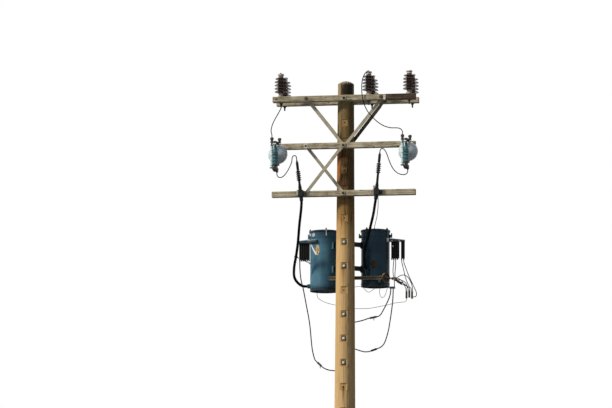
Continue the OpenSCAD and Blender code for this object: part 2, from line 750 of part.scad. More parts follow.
// Steel service arm behind the pole, with lag screws and the plate of the dead ends
service_z = pole_h - service_drop - service_w / 2;
service_y = pole_r(service_z - service_w / 2) + fit;
lag_xs = [-18, 18];
lag_d = 12;
lag_in = 70;
plate_x = service_right + 22;
plate_y = service_y + 26;
plate_turn = 50;
plate_boss = 22;
module service_arm() {
    color("tan") {
        translate([-service_left, 0, service_z]) {
            long = service_left + service_right;
            box(0, long, service_y, service_y + service_t, -service_w / 2, service_w / 2);
            box(0, long, service_y, service_y + service_w, service_w / 2 - service_t, service_w / 2);
        }
        for (x = lag_xs) translate([x, 0, service_z]) {
            along_y(service_y - lag_in, service_y + service_t, lag_d);
            translate([0, service_y + service_t, 0]) rotate([-90, 0, 0]) cylinder(h = 9, d = 22, $fn = 6);
        }
        translate([0, plate_y, service_z])
            box(service_right - 40, plate_x - 4, -8, 8, -14, service_w / 2 - 2);
        translate([plate_x, plate_y, service_z]) rotate([90, 0, plate_turn]) rotate_extrude() polygon([
            [0, -6], [plate_d / 2 - 6, -6], [plate_d / 2, -8], [plate_d / 2, 14],
            [plate_d / 2 - 5, 14], [plate_d / 2 - 9, 0], [20, 0], [14, plate_boss], [0, plate_boss]
        ]);
    }
}

// Rack with three spools on the back of the pole
rack_t = 8;
rack_half = 26;
rack_end = 34;
spool_down = [75, 95, 75];
spool_zs = [for (i = [0 : 2]) hole_z(spool_holes[i]) - spool_down[i]];
rack_top = hole_z(spool_holes[0]) + rack_end;
rack_low = spool_zs[2] - spool_h / 2 - rack_end / 2;
rack_y = pole_r(rack_low) + fit;
fork_t = 6;
fork_out = 80;
spool_y = rack_t + spool_r + 7;
spool_pin_d = 14;
module spool_rack() {
    color("dimgray") {
        difference() {
            box(-rack_half, rack_half, rack_y, rack_y + rack_t, rack_low, rack_top);
            for (k = spool_holes) translate([0, 0, hole_z(k)]) along_y(0, bevel_reach, hole_d);
        }
        for (z = spool_zs) translate([0, rack_y, z]) {
            for (s = [-1, 1]) scale([1, 1, s])
                box(-20, 20, rack_t - 1, fork_out, spool_h / 2 + fit, spool_h / 2 + fit + fork_t);
            translate([0, spool_y, 0]) cylinder(h = spool_h + 2 * fork_t + 16, d = spool_pin_d, center = true);
        }
    }
}

module spools() {
    half = spool_h / 2;
    groove = spool_r - 12;
    color("saddlebrown") for (z = spool_zs) translate([0, rack_y + spool_y, z]) rotate_extrude() polygon([
        [spool_pin_d / 2 + fit, -half], [spool_r - 3, -half], [spool_r, -half + 6], [spool_r, -half + 15],
        [groove, -6], [groove, 6], [spool_r, half - 15], [spool_r, half - 6], [spool_r - 3, half],
        [spool_pin_d / 2 + fit, half]
    ]);
}

// Connectors of the leads: taps in two insulators' grooves, dead ends at the service arm's plate,
// barrels that join leads, and a clamp under the service arm
tap_half = 30;
tap_d = 21;
eye_d = 26;
eye_out = plate_boss + fit + eye_d / 2;
eye = [plate_x + eye_out * sin(plate_turn), plate_y - eye_out * cos(plate_turn), service_z];
dead_ends = [
    [[575, 110, 6690], [640, 102, 6682]], [[605, 127, 6668], [670, 130, 6645]], [[635, 148, 6650], [700, 160, 6615]]
];
barrel_places = [[760, 130, 6430], [795, 130, 6440], [830, 130, 6425]];
sleeves = [[[375, 150, 6205], [290, 160, 6190]], [[375, 163, 5800], [305, 170, 5777]], [[-385, 205, 5640], [-335, 192, 5595]]];
sleeve_bolts = [[341, 154, 6159], [-350, 196, 5566]];
module towards(a, b) {
    v = b - a;
    translate(a) rotate([0, acos(v.z / norm(v)), atan2(v.y, v.x)]) children();
}

module lead_connectors() {
    color("peru") {
        for (i = [0, 1]) translate([insulator_xs[i], -insulator_y, arm_top + insulator_h + 3])
            along_y(-tap_half, tap_half, tap_d);
        translate(eye) sphere(d = eye_d);
        for (e = dead_ends) {
            towards(eye, e[0]) cylinder(h = norm(e[0] - eye) + 4, d = 8);
            towards(e[0], e[1]) cylinder(h = norm(e[1] - e[0]), d1 = 20, d2 = 28);
        }
        // block that hangs under the middle dead end
        box(545, 615, 116, 144, 6556, 6582);
        box(602, 611, 121, 133, 6578, 6668);
        for (p = barrel_places) translate(p) cylinder(h = 90, d = 26);
        for (s = sleeves) towards(s[0], s[1]) cylinder(h = norm(s[1] - s[0]), d = 26);
        // bolts that stand down from two of the sleeves
        for (p = sleeve_bolts) translate(p) cylinder(h = 40, d = 9);
        box(400, 430, 112, 132, 6640, service_z - service_w / 2 - fit);
    }
}

// Leads and cables, swept along their points
tube_sides = 8;
ring_gap = 2.5;
function unit(v) = v / norm(v);
function spline(p, i, t) =
    let (a = i == 0 ? 2 * p[0] - p[1] : p[i - 1], b = p[i], c = p[i + 1],
        d = i + 2 < len(p) ? p[i + 2] : 2 * p[i + 1] - p[i])
    0.5 * (2 * b + (c - a) * t + (2 * a - 5 * b + 4 * c - d) * t * t + (3 * b - a - 3 * c + d) * t * t * t);
function route(p, d) = concat([
    for (i = [0 : len(p) - 2])
        let (n = max(1, round(norm(p[i + 1] - p[i]) / (ring_gap * d))))
        for (s = [0 : n - 1]) spline(p, i, s / n)
], [p[len(p) - 1]]);
function turned(v, n) = unit(v - (v * n) * n);
function sides_of(t, i, v) = i == len(t) ? [] : let (w = turned(v, t[i])) concat([w], sides_of(t, i + 1, w));

module tube(p, d) {
    q = route(p, d);
    n = len(q);
    m = len(p);
    t = [for (i = [0 : n - 1])
        i == 0 ? unit(p[1] - p[0]) : i == n - 1 ? unit(p[m - 1] - p[m - 2]) : unit(q[i + 1] - q[i - 1])];
    u = sides_of(t, 0, abs(t[0].x) < 0.9 ? [1, 0, 0] : [0, 0, 1]);
    points = [for (i = [0 : n - 1], k = [0 : tube_sides - 1]) let (a = 360 * k / tube_sides)
        q[i] + d / 2 * (cos(a) * u[i] + sin(a) * cross(t[i], u[i]))];
    walls = [for (i = [0 : n - 2], k = [0 : tube_sides - 1])
        let (a = i * tube_sides + k, b = i * tube_sides + (k + 1) % tube_sides,
            c = b + tube_sides, e = a + tube_sides)
        each [[a, e, c], [a, c, b]]];
    ends = [[for (k = [0 : tube_sides - 1]) k],
        [for (k = [tube_sides - 1 : -1 : 0]) (n - 1) * tube_sides + k]];
    polyhedron(points, concat(ends, walls));
}

left_cable = [
    [-530, -236, 7699.8], [-523, -236, 7642], [-535, -200, 7535], [-570, -120, 7355], [-610, 0, 7140],
    [-652, 110, 6990], [-690, 195, 6870], [-706, 262, 6772], [-696, 303, 6716], [-666, 336, 6672],
    [-626, 360, 6642], [-586, 370, 6632], [-547.5, 370, 6632]
];
right_cable = [
    [427.5, -236, 7699.7], [422, -236, 7640], [410, -226, 7575], [385, -185, 7465], [342, -110, 7340],
    [300, -35, 7230], [262, 30, 7130], [236, 75, 7050], [225, 103, 6980], [224, 117, 6920],
    [229, 133, 6868], [242, 164.6, 6818]
];
module high_voltage_cables() {
    color("dimgray") {
        tube(left_cable, cable_d);
        tube(right_cable, cable_d);
    }
}

jumper_d = 12;
left_tap = [
    [-815, -105.7, 9294], [-815, -70, 9294], [-815, -40, 9286], [-814, -15, 9262], [-812, -2, 9222],
    [-810, 2, 9160], [-810, 2, 9080], [-812, 0, 9000], [-820, -4, 8930], [-838, -16, 8868],
    [-864, -42, 8805], [-888, -85, 8742], [-904, -140, 8682], [-912, -200, 8625], [-912, -260, 8572],
    [-904, -315, 8525], [-890, -350, 8490], [-884, -362, 8466], [-884, -362, 8442.5]
];
right_tap = [
    [315, -166.8, 9294], [314.5, -186, 9293.5], [306, -208, 9284], [276, -221, 9248], [250, -214, 9192],
    [238, -205, 9130], [236, -202, 9060], [240, -202, 8990], [252, -204, 8920], [280, -210, 8835],
    [325, -222, 8755], [385, -240, 8685], [460, -262, 8615], [540, -285, 8565], [620, -308, 8538],
    [690, -335, 8530], [735, -350, 8522], [768, -360, 8500], [780, -362, 8472], [780, -362, 8442.5]
];
left_fuse_lead = [
    [-820, -346, 7993.5], [-820, -346, 7968], [-808, -344, 7943], [-785, -338, 7931], [-755, -330, 7938],
    [-722, -318, 7970], [-690, -304, 8022], [-664, -290, 8078], [-648, -277, 8125], [-643, -267, 8160],
    [-643, -258, 8190], [-635, -250, 8212], [-615, -243, 8222], [-596, -238, 8212], [-590, -236, 8189],
    [-584.4, -236, 8142.5]
];
right_fuse_lead = [
    [844, -346, 7993.5], [844, -346, 7968], [832, -345, 7946], [805, -343, 7934], [760, -338, 7937],
    [710, -330, 7960], [665, -318, 8002], [630, -304, 8058], [602, -291, 8122], [579, -277, 8184],
    [558, -264, 8232], [539, -253, 8264], [514, -243, 8285], [489, -237, 8281], [476.5, -236, 8257],
    [472.8, -236, 8218.7]
];
earth_d = 8;
earth_lead = [
    [450, -215, 7697.6], [450, -215, 7640], [448, -200, 7575], [425, -130, 7460], [385, -10, 7380],
    [352, 110, 7335], [345, 150, 7323], [345, 180.6, 7321]
];
module jumper_leads() {
    color("dimgray") {
        for (p = [left_tap, right_tap, left_fuse_lead, right_fuse_lead]) tube(p, jumper_d);
        tube(earth_lead, earth_d);
    }
}

spool_lead_d = 14;
upper_spool_in = [
    [560, 130, 6555.5], [558, 130, 6520], [543, 131, 6450], [505, 135, 6365], [464, 139, 6288],
    [434, 143, 6238], [405, 146.5, 6212], [375.7, 149.9, 6205.2]
];
upper_spool_out = [
    [289.5, 160.1, 6189.9], [265, 163, 6185.6], [200, 170, 6165], [130, 176, 6150], [80, 180, 6142], [27.3, 180.8, 6140]
];
middle_spool_in = [
    [590, 130, 6555.5], [590, 130, 6515], [584, 131, 6400], [570, 133, 6280], [555, 136, 6180],
    [535, 139, 6060], [510, 143, 5960], [475, 150, 5868], [430, 157, 5822], [401, 160.4, 5808.5], [375.5, 163, 5800.2]
];
middle_spool_out = [
    [304.5, 170.1, 5776.8], [280, 172.5, 5769], [220, 176, 5766], [150, 179, 5785], [90, 180.8, 5805],
    [55, 180.8, 5813], [27.3, 180.8, 5815]
];
lower_spool_in = [
    [-647, 350, 6949.5], [-647, 350, 6900], [-640, 338, 6810], [-622, 318, 6700], [-590, 300, 6580],
    [-545, 290, 6360], [-500, 270, 6130], [-465, 240, 5840], [-430, 217, 5700], [-405, 210, 5658], [-385.4, 205.1, 5640.4]
];
lower_spool_out = [
    [-334.6, 191.9, 5594.6], [-310, 185.5, 5573], [-250, 182, 5545], [-170, 181, 5532], [-90, 180.8, 5530],
    [-27.3, 180.8, 5530]
];
bushing_lead_d = 10;
second_bushing = [
    [564, 350, 6949.5], [563, 349, 6920], [560, 338, 6870], [562, 300, 6785], [585, 240, 6715], [630, 200, 6705],
    [670, 180, 6725], [725, 165, 6730], [775, 150, 6700], [812, 140, 6640], [832, 132, 6580], [836, 130, 6540],
    [836, 130, 6515.5]
];
third_bushing = [
    [588, 350, 6949.5], [588, 349, 6920], [589, 340, 6870], [588, 290, 6760], [610, 230, 6690], [670, 195, 6675],
    [735, 175, 6640], [762, 157, 6598], [767, 142, 6568], [766, 131, 6544], [766, 130, 6520.6]
];
fifth_bushing = [
    [666, 350, 6949.5], [667, 349, 6920], [680, 335, 6870], [700, 310, 6800], [720, 275, 6730], [750, 215, 6660],
    [778, 168, 6606], [796, 143, 6576], [801, 131.5, 6554], [801, 130, 6530.6]
];
sixth_bushing = [
    [692, 350, 6949.5], [693, 349, 6920], [710, 335, 6870], [755, 295, 6760], [805, 235, 6660], [855, 175, 6565],
    [880, 148, 6512], [887, 137, 6482], [881, 131, 6458], [864, 130, 6448], [843.6, 130, 6447]
];
stub_d = 9;
first_stub = [
    [640.6, 101.9, 6681.9], [665, 98.9, 6678.9], [702, 104, 6650], [735, 118, 6595], [752, 128, 6552], [754, 130, 6520.6]
];
second_stub = [
    [670.6, 130, 6644.8], [695, 131.1, 6636.2], [735, 131, 6610], [770, 130, 6578], [787, 130, 6554], [789, 130, 6530.7]
];
third_stub = [
    [700.6, 160.1, 6614.7], [722, 164, 6603.2], [760, 169, 6588], [796, 160, 6572], [815, 144, 6559],
    [822, 133, 6542], [823, 130, 6516]
];
thin_d = 6;
left_tank_lead = [
    [-425, 370, 6551.5], [-425, 370, 6525], [-410, 361, 6480], [-340, 330, 6430], [-250, 285, 6395],
    [-150, 240, 6368], [-35, 205, 6340], [90, 185, 6318], [275, 168, 6315], [430, 165, 6340], [505, 165, 6352],
    [600, 150, 6374], [680, 135, 6382], [726, 130, 6384], [750, 130, 6393], [759, 130, 6410], [760, 130, 6429.4]
];
pole_lead = [
    [0, 120.6, 6585], [1, 132, 6585], [9, 147, 6585], [24, 156, 6584], [50, 158, 6584], [90, 152, 6586],
    [140, 144, 6592], [190, 140, 6590], [235, 140, 6545], [275, 140, 6518], [330, 138, 6545], [375, 132, 6584],
    [398, 125, 6602], [407, 122, 6619], [408, 122, 6639.4]
];
arm_loop = [
    [422, 122, 6639.5], [424, 122, 6608], [420, 134, 6560], [415, 140, 6522], [422, 140, 6476], [444, 139, 6448],
    [475, 136, 6458], [496, 132, 6496], [504, 130, 6530], [512, 130, 6554], [526, 130, 6567], [544.4, 130, 6569]
];
module secondary_leads() {
    color("dimgray") {
        for (p = [upper_spool_in, upper_spool_out, middle_spool_in, middle_spool_out, lower_spool_in, lower_spool_out])
            tube(p, spool_lead_d);
        for (p = [second_bushing, third_bushing, fifth_bushing, sixth_bushing]) tube(p, bushing_lead_d);
        for (p = [first_stub, second_stub, third_stub]) tube(p, stub_d);
        for (p = [left_tank_lead, pole_lead, arm_loop]) tube(p, thin_d);
    }
}

pole();
through_bolts();
front_top_arm();
rear_top_arm();
middle_arm();
lower_arm();
front_left_brace();
front_right_brace();
rear_left_brace();
rear_right_brace();
middle_arm_brace();
lower_arm_brace();
brace_bolts();
insulator_pins();
left_front_insulator();
left_rear_insulator();
middle_front_insulator();
middle_rear_insulator();
right_front_insulator();
right_rear_insulator();
left_cutout_dome();
right_cutout_dome();
left_cutout_frame();
right_cutout_frame();
left_cutout_knobs();
right_cutout_knobs();
cutout_bolts();
left_fuse();
right_fuse();
left_tank();
right_tank();
left_lid();
right_lid();
transformer_brackets();
cable_heads();
cable_clamps();
high_voltage_cables();
jumper_leads();
terminal_hoods();
low_voltage_bushings();
service_arm();
spool_rack();
spools();
lead_connectors();
secondary_leads();
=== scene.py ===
# Finishes, leads and small fittings of a wooden distribution pole that carries two transformers.
# Metres, as in the part: X along the arms, Y to the back, Z up from the ground.
import math

import bmesh
import bpy
from mathutils import Matrix, Vector


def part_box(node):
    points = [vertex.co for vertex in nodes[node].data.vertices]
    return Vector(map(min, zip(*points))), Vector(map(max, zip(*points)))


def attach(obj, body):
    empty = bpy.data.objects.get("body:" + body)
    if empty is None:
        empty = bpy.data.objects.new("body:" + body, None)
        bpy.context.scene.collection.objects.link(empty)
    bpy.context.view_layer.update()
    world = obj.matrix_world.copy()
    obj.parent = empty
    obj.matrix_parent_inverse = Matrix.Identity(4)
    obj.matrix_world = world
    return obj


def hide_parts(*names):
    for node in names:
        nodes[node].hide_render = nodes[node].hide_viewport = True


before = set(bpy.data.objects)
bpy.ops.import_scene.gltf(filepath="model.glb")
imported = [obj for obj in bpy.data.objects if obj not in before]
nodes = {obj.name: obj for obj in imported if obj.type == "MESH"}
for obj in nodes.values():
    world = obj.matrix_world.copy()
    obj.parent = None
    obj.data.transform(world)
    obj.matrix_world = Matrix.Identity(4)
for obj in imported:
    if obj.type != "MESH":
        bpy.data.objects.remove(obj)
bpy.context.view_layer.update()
scene = bpy.context.scene
print("frame loaded with", len(nodes), "nodes")

# Camera: low and far off, a little to the right of the pole, with a long lens
cameraView = {
    "place": (6.833, -40.832, 1.6),
    "aim": (-0.5081, 0.0, 7.6374),
    "rollDegrees": 0.3,
    "focalMm": 194.7,
    "sensorMm": 36.0,
    "clipEnd": 200.0,
}


def makeCamera(look):
    lens = bpy.data.cameras.new("frontView")
    lens.lens = look["focalMm"]
    lens.sensor_width = look["sensorMm"]
    lens.clip_end = look["clipEnd"]
    place = Vector(look["place"])
    forward = (Vector(look["aim"]) - place).normalized()
    level = forward.cross(Vector((0, 0, 1))).normalized()
    plumb = level.cross(forward)
    roll = math.radians(look["rollDegrees"])
    right = level * math.cos(roll) + plumb * math.sin(roll)
    up = plumb * math.cos(roll) - level * math.sin(roll)
    camera = bpy.data.objects.new("frontView", lens)
    camera.matrix_world = Matrix.Translation(place) @ Matrix((right, up, -forward)).transposed().to_4x4()
    scene.collection.objects.link(camera)
    scene.camera = camera


makeCamera(cameraView)

# Cables and leads: diameter, real length, how stiff each is, and the points that it follows
highVoltageCables = {
    "left_cable": (0.034, 1.36, "medium", [
        (-0.53, -0.236, 7.6998), (-0.523, -0.236, 7.642), (-0.535, -0.2, 7.535), (-0.57, -0.12, 7.355),
        (-0.61, 0, 7.14), (-0.652, 0.11, 6.99), (-0.69, 0.195, 6.87), (-0.706, 0.262, 6.772),
        (-0.696, 0.303, 6.716), (-0.666, 0.336, 6.672), (-0.626, 0.36, 6.642), (-0.586, 0.37, 6.632),
        (-0.5475, 0.37, 6.632)
    ]),
    "right_cable": (0.034, 1.01, "medium", [
        (0.4275, -0.236, 7.6997), (0.422, -0.236, 7.64), (0.41, -0.226, 7.575), (0.385, -0.185, 7.465),
        (0.342, -0.11, 7.34), (0.3, -0.035, 7.23), (0.262, 0.03, 7.13), (0.236, 0.075, 7.05),
        (0.225, 0.103, 6.98), (0.224, 0.117, 6.92), (0.229, 0.133, 6.868), (0.242, 0.1646, 6.818)
    ]),
}
jumperLeads = {
    "left_tap": (0.012, 1.08, "limp", [
        (-0.815, -0.1057, 9.294), (-0.815, -0.07, 9.294), (-0.815, -0.04, 9.286),
        (-0.814, -0.015, 9.262), (-0.812, -0.002, 9.222), (-0.81, 0.002, 9.16), (-0.81, 0.002, 9.08),
        (-0.812, 0, 9), (-0.82, -0.004, 8.93), (-0.838, -0.016, 8.868), (-0.864, -0.042, 8.805),
        (-0.888, -0.085, 8.742), (-0.904, -0.14, 8.682), (-0.912, -0.2, 8.625), (-0.912, -0.26, 8.572),
        (-0.904, -0.315, 8.525), (-0.89, -0.35, 8.49), (-0.884, -0.362, 8.466),
        (-0.884, -0.362, 8.4425)
    ]),
    "right_tap": (0.012, 1.22, "limp", [
        (0.315, -0.1668, 9.294), (0.3145, -0.186, 9.2935), (0.306, -0.208, 9.284),
        (0.276, -0.221, 9.248), (0.25, -0.214, 9.192), (0.238, -0.205, 9.13), (0.236, -0.202, 9.06),
        (0.24, -0.202, 8.99), (0.252, -0.204, 8.92), (0.28, -0.21, 8.835), (0.325, -0.222, 8.755),
        (0.385, -0.24, 8.685), (0.46, -0.262, 8.615), (0.54, -0.285, 8.565), (0.62, -0.308, 8.538),
        (0.69, -0.335, 8.53), (0.735, -0.35, 8.522), (0.768, -0.36, 8.5), (0.78, -0.362, 8.472),
        (0.78, -0.362, 8.4425)
    ]),
    "left_fuse_lead": (0.012, 0.55, "limp", [
        (-0.82, -0.346, 7.9935), (-0.82, -0.346, 7.968), (-0.808, -0.344, 7.943),
        (-0.785, -0.338, 7.931), (-0.755, -0.33, 7.938), (-0.722, -0.318, 7.97),
        (-0.69, -0.304, 8.022), (-0.664, -0.29, 8.078), (-0.648, -0.277, 8.125),
        (-0.643, -0.267, 8.16), (-0.643, -0.258, 8.19), (-0.635, -0.25, 8.212),
        (-0.615, -0.243, 8.222), (-0.596, -0.238, 8.212), (-0.59, -0.236, 8.189),
        (-0.5844, -0.236, 8.1425)
    ]),
    "right_fuse_lead": (0.012, 0.67, "limp", [
        (0.844, -0.346, 7.9935), (0.844, -0.346, 7.968), (0.832, -0.345, 7.946),
        (0.805, -0.343, 7.934), (0.76, -0.338, 7.937), (0.71, -0.33, 7.96), (0.665, -0.318, 8.002),
        (0.63, -0.304, 8.058), (0.602, -0.291, 8.122), (0.579, -0.277, 8.184), (0.558, -0.264, 8.232),
        (0.539, -0.253, 8.264), (0.514, -0.243, 8.285), (0.489, -0.237, 8.281),
        (0.4765, -0.236, 8.257), (0.4728, -0.236, 8.2187)
    ]),
    "earth_lead": (0.008, 0.62, "limp", [
        (0.45, -0.215, 7.6976), (0.45, -0.215, 7.64), (0.448, -0.2, 7.575), (0.425, -0.13, 7.46),
        (0.385, -0.01, 7.38), (0.352, 0.11, 7.335), (0.345, 0.15, 7.323), (0.345, 0.1806, 7.321)
    ]),
}
secondaryLeads = {
    "upper_spool_in": (0.014, 0.42, "limp", [
        (0.56, 0.13, 6.5555), (0.558, 0.13, 6.52), (0.543, 0.131, 6.45), (0.505, 0.135, 6.365),
        (0.464, 0.139, 6.288), (0.434, 0.143, 6.238), (0.405, 0.1465, 6.212), (0.3757, 0.1499, 6.2052)
    ]),
    "upper_spool_out": (0.014, 0.27, "medium", [
        (0.2895, 0.1601, 6.1899), (0.265, 0.163, 6.1856), (0.2, 0.17, 6.165), (0.13, 0.176, 6.15),
        (0.08, 0.18, 6.142), (0.0273, 0.1808, 6.14)
    ]),
    "middle_spool_in": (0.014, 0.83, "limp", [
        (0.59, 0.13, 6.5555), (0.59, 0.13, 6.515), (0.584, 0.131, 6.4), (0.57, 0.133, 6.28),
        (0.555, 0.136, 6.18), (0.535, 0.139, 6.06), (0.51, 0.143, 5.96), (0.475, 0.15, 5.868),
        (0.43, 0.157, 5.822), (0.401, 0.1604, 5.8085), (0.3755, 0.163, 5.8002)
    ]),
    "middle_spool_out": (0.014, 0.29, "limp", [
        (0.3045, 0.1701, 5.7768), (0.28, 0.1725, 5.769), (0.22, 0.176, 5.766), (0.15, 0.179, 5.785),
        (0.09, 0.1808, 5.805), (0.055, 0.1808, 5.813), (0.0273, 0.1808, 5.815)
    ]),
    "lower_spool_in": (0.014, 1.36, "limp", [
        (-0.647, 0.35, 6.9495), (-0.647, 0.35, 6.9), (-0.64, 0.338, 6.81), (-0.622, 0.318, 6.7),
        (-0.59, 0.3, 6.58), (-0.545, 0.29, 6.36), (-0.5, 0.27, 6.13), (-0.465, 0.24, 5.84),
        (-0.43, 0.217, 5.7), (-0.405, 0.21, 5.658), (-0.3854, 0.2051, 5.6404)
    ]),
    "lower_spool_out": (0.014, 0.32, "medium", [
        (-0.3346, 0.1919, 5.5946), (-0.31, 0.1855, 5.573), (-0.25, 0.182, 5.545),
        (-0.17, 0.181, 5.532), (-0.09, 0.1808, 5.53), (-0.0273, 0.1808, 5.53)
    ]),
    "second_bushing": (0.01, 0.70, "medium", [
        (0.564, 0.35, 6.9495), (0.563, 0.349, 6.92), (0.56, 0.338, 6.87), (0.562, 0.3, 6.785),
        (0.585, 0.24, 6.715), (0.63, 0.2, 6.705), (0.67, 0.18, 6.725), (0.725, 0.165, 6.73),
        (0.775, 0.15, 6.7), (0.812, 0.14, 6.64), (0.832, 0.132, 6.58), (0.836, 0.13, 6.54),
        (0.836, 0.13, 6.5155)
    ]),
    "third_bushing": (0.01, 0.58, "limp", [
        (0.588, 0.35, 6.9495), (0.588, 0.349, 6.92), (0.589, 0.34, 6.87), (0.588, 0.29, 6.76),
        (0.61, 0.23, 6.69), (0.67, 0.195, 6.675), (0.735, 0.175, 6.64), (0.762, 0.157, 6.598),
        (0.767, 0.142, 6.568), (0.766, 0.131, 6.544), (0.766, 0.13, 6.5206)
    ]),
    "fifth_bushing": (0.01, 0.51, "limp", [
        (0.666, 0.35, 6.9495), (0.667, 0.349, 6.92), (0.68, 0.335, 6.87), (0.7, 0.31, 6.8),
        (0.72, 0.275, 6.73), (0.75, 0.215, 6.66), (0.778, 0.168, 6.606), (0.796, 0.143, 6.576),
        (0.801, 0.1315, 6.554), (0.801, 0.13, 6.5306)
    ]),
    "sixth_bushing": (0.01, 0.62, "limp", [
        (0.692, 0.35, 6.9495), (0.693, 0.349, 6.92), (0.71, 0.335, 6.87), (0.755, 0.295, 6.76),
        (0.805, 0.235, 6.66), (0.855, 0.175, 6.565), (0.88, 0.148, 6.512), (0.887, 0.137, 6.482),
        (0.881, 0.131, 6.458), (0.864, 0.13, 6.448), (0.8436, 0.13, 6.447)
    ]),
    "first_stub": (0.009, 0.22, "limp", [
        (0.6406, 0.1019, 6.6819), (0.665, 0.0989, 6.6789), (0.702, 0.104, 6.65), (0.735, 0.118, 6.595),
        (0.752, 0.128, 6.552), (0.754, 0.13, 6.5206)
    ]),
    "second_stub": (0.009, 0.17, "limp", [
        (0.6706, 0.13, 6.6448), (0.695, 0.1311, 6.6362), (0.735, 0.131, 6.61), (0.77, 0.13, 6.578),
        (0.787, 0.13, 6.554), (0.789, 0.13, 6.5307)
    ]),
    "third_stub": (0.009, 0.18, "limp", [
        (0.7006, 0.1601, 6.6147), (0.722, 0.164, 6.6032), (0.76, 0.169, 6.588), (0.796, 0.16, 6.572),
        (0.815, 0.144, 6.559), (0.822, 0.133, 6.542), (0.823, 0.13, 6.516)
    ]),
    "left_tank_lead": (0.006, 1.35, "limp", [
        (-0.425, 0.37, 6.5515), (-0.425, 0.37, 6.525), (-0.41, 0.361, 6.48), (-0.34, 0.33, 6.43),
        (-0.25, 0.285, 6.395), (-0.15, 0.24, 6.368), (-0.035, 0.205, 6.34), (0.09, 0.185, 6.318),
        (0.275, 0.168, 6.315), (0.43, 0.165, 6.34), (0.505, 0.165, 6.352), (0.6, 0.15, 6.374),
        (0.68, 0.135, 6.382), (0.726, 0.13, 6.384), (0.75, 0.13, 6.393), (0.759, 0.13, 6.41),
        (0.76, 0.13, 6.4294)
    ]),
    "pole_lead": (0.006, 0.52, "limp", [
        (0, 0.1206, 6.585), (0.001, 0.132, 6.585), (0.009, 0.147, 6.585), (0.024, 0.156, 6.584),
        (0.05, 0.158, 6.584), (0.09, 0.152, 6.586), (0.14, 0.144, 6.592), (0.19, 0.14, 6.59),
        (0.235, 0.14, 6.545), (0.275, 0.14, 6.518), (0.33, 0.138, 6.545), (0.375, 0.132, 6.584),
        (0.398, 0.125, 6.602), (0.407, 0.122, 6.619), (0.408, 0.122, 6.6394)
    ]),
    "arm_loop": (0.006, 0.38, "limp", [
        (0.422, 0.122, 6.6395), (0.424, 0.122, 6.608), (0.42, 0.134, 6.56), (0.415, 0.14, 6.522),
        (0.422, 0.14, 6.476), (0.444, 0.139, 6.448), (0.475, 0.136, 6.458), (0.496, 0.132, 6.496),
        (0.504, 0.13, 6.53), (0.512, 0.13, 6.554), (0.526, 0.13, 6.567), (0.5444, 0.13, 6.569)
    ]),
}
cordGroups = {
    "high_voltage_cables": highVoltageCables,
    "jumper_leads": jumperLeads,
    "secondary_leads": secondaryLeads,
}


# A smooth open curve through the points, each handle a sixth of the way between its neighbours
def makeCord(name, diameter, points):
    curve = bpy.data.curves.new(name, "CURVE")
    curve.dimensions = "3D"
    curve.bevel_depth = 1.0  # the points' own radius gives the thickness
    curve.bevel_resolution = 4
    curve.resolution_u = 7
    curve.use_fill_caps = True
    spline = curve.splines.new("BEZIER")
    spline.bezier_points.add(len(points) - 1)
    route = [Vector(point) for point in points]
    last = len(route) - 1
    for i, knot in enumerate(spline.bezier_points):
        share = 3 if i in (0, last) else 6
        reach = (route[min(i + 1, last)] - route[max(i - 1, 0)]) / share
        knot.co = route[i]
        knot.radius = diameter / 2
        knot.handle_left = route[i] - reach
        knot.handle_right = route[i] + reach
    cord = bpy.data.objects.new(name, curve)
    scene.collection.objects.link(cord)
    return cord


cords = []
for nodeName, group in cordGroups.items():
    for cordName, (diameter, length, stiffness, points) in group.items():
        cord = makeCord(cordName, diameter, points)
        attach(cord, "root")
        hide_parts(nodeName)
        cords.append(cord)
print("cords laid:", len(cords))


def colour(hexCode):
    channels = [int(hexCode[i:i + 2], 16) / 255 for i in (0, 2, 4)]
    return [c / 12.92 if c <= 0.04045 else ((c + 0.055) / 1.055) ** 2.4 for c in channels] + [1.0]


# Adds a node. Inputs go by socket, or in the sockets' order: a node there stands for its first output
# in use, and text is a hex colour. Stops are a ramp's places and colours.
def addNode(tree, kind, inputs=(), stops=(), **settings):
    node = tree.nodes.new("ShaderNode" + kind)
    for setting, value in settings.items():
        setattr(node, setting, value)
    for socket, value in inputs.items() if isinstance(inputs, dict) else enumerate(inputs):
        if isinstance(value, bpy.types.Node):
            value = next(output for output in value.outputs if output.enabled)
        if isinstance(value, bpy.types.NodeSocket):
            tree.links.new(value, node.inputs[socket])
        else:
            node.inputs[socket].default_value = colour(value) if isinstance(value, str) else value
    if stops:
        ramp = node.color_ramp
        while len(ramp.elements) < len(stops):
            ramp.elements.new(1.0)
        for element, (place, tone) in zip(ramp.elements, stops):
            element.position = place
            element.color = colour(tone)
    return node


# An empty material with its tree, the place on the object, and the X, Y and Z of that
def startMaterial(name):
    material = bpy.data.materials.new(name)
    material.use_nodes = True
    tree = material.node_tree
    tree.nodes.clear()
    place = addNode(tree, "TexCoord").outputs["Object"]
    return material, tree, place, addNode(tree, "SeparateXYZ", [place]).outputs


# Narrows a mask by others: each is a mask already, or a value with where it starts and where it is full
def narrowMask(tree, mask, others):
    for other in others:
        if isinstance(other, tuple):
            other = addNode(tree, "MapRange", other)
        mask = addNode(tree, "Math", (mask, other), operation="MULTIPLY")
    return mask


# Lays coats over the base, each a mask, a tone and sometimes a way to mix, and joins up the shader.
# A colour Mix node takes its factor at socket 0 and its two colours at sockets 6 and 7.
def endMaterial(tree, base, coats, inputs):
    for mask, tone, *blend in coats:
        base = addNode(tree, "Mix", {0: mask, 6: base, 7: tone},
                       data_type="RGBA", blend_type=blend[0] if blend else "MIX")
    shader = addNode(tree, "BsdfPrincipled", {"Base Color": base, **inputs})
    addNode(tree, "OutputMaterial", [shader])


# Bolt holes down the pole: the height of the top arm's, and the pitch
boltHoles = {"first": 8.96, "pitch": 0.305}


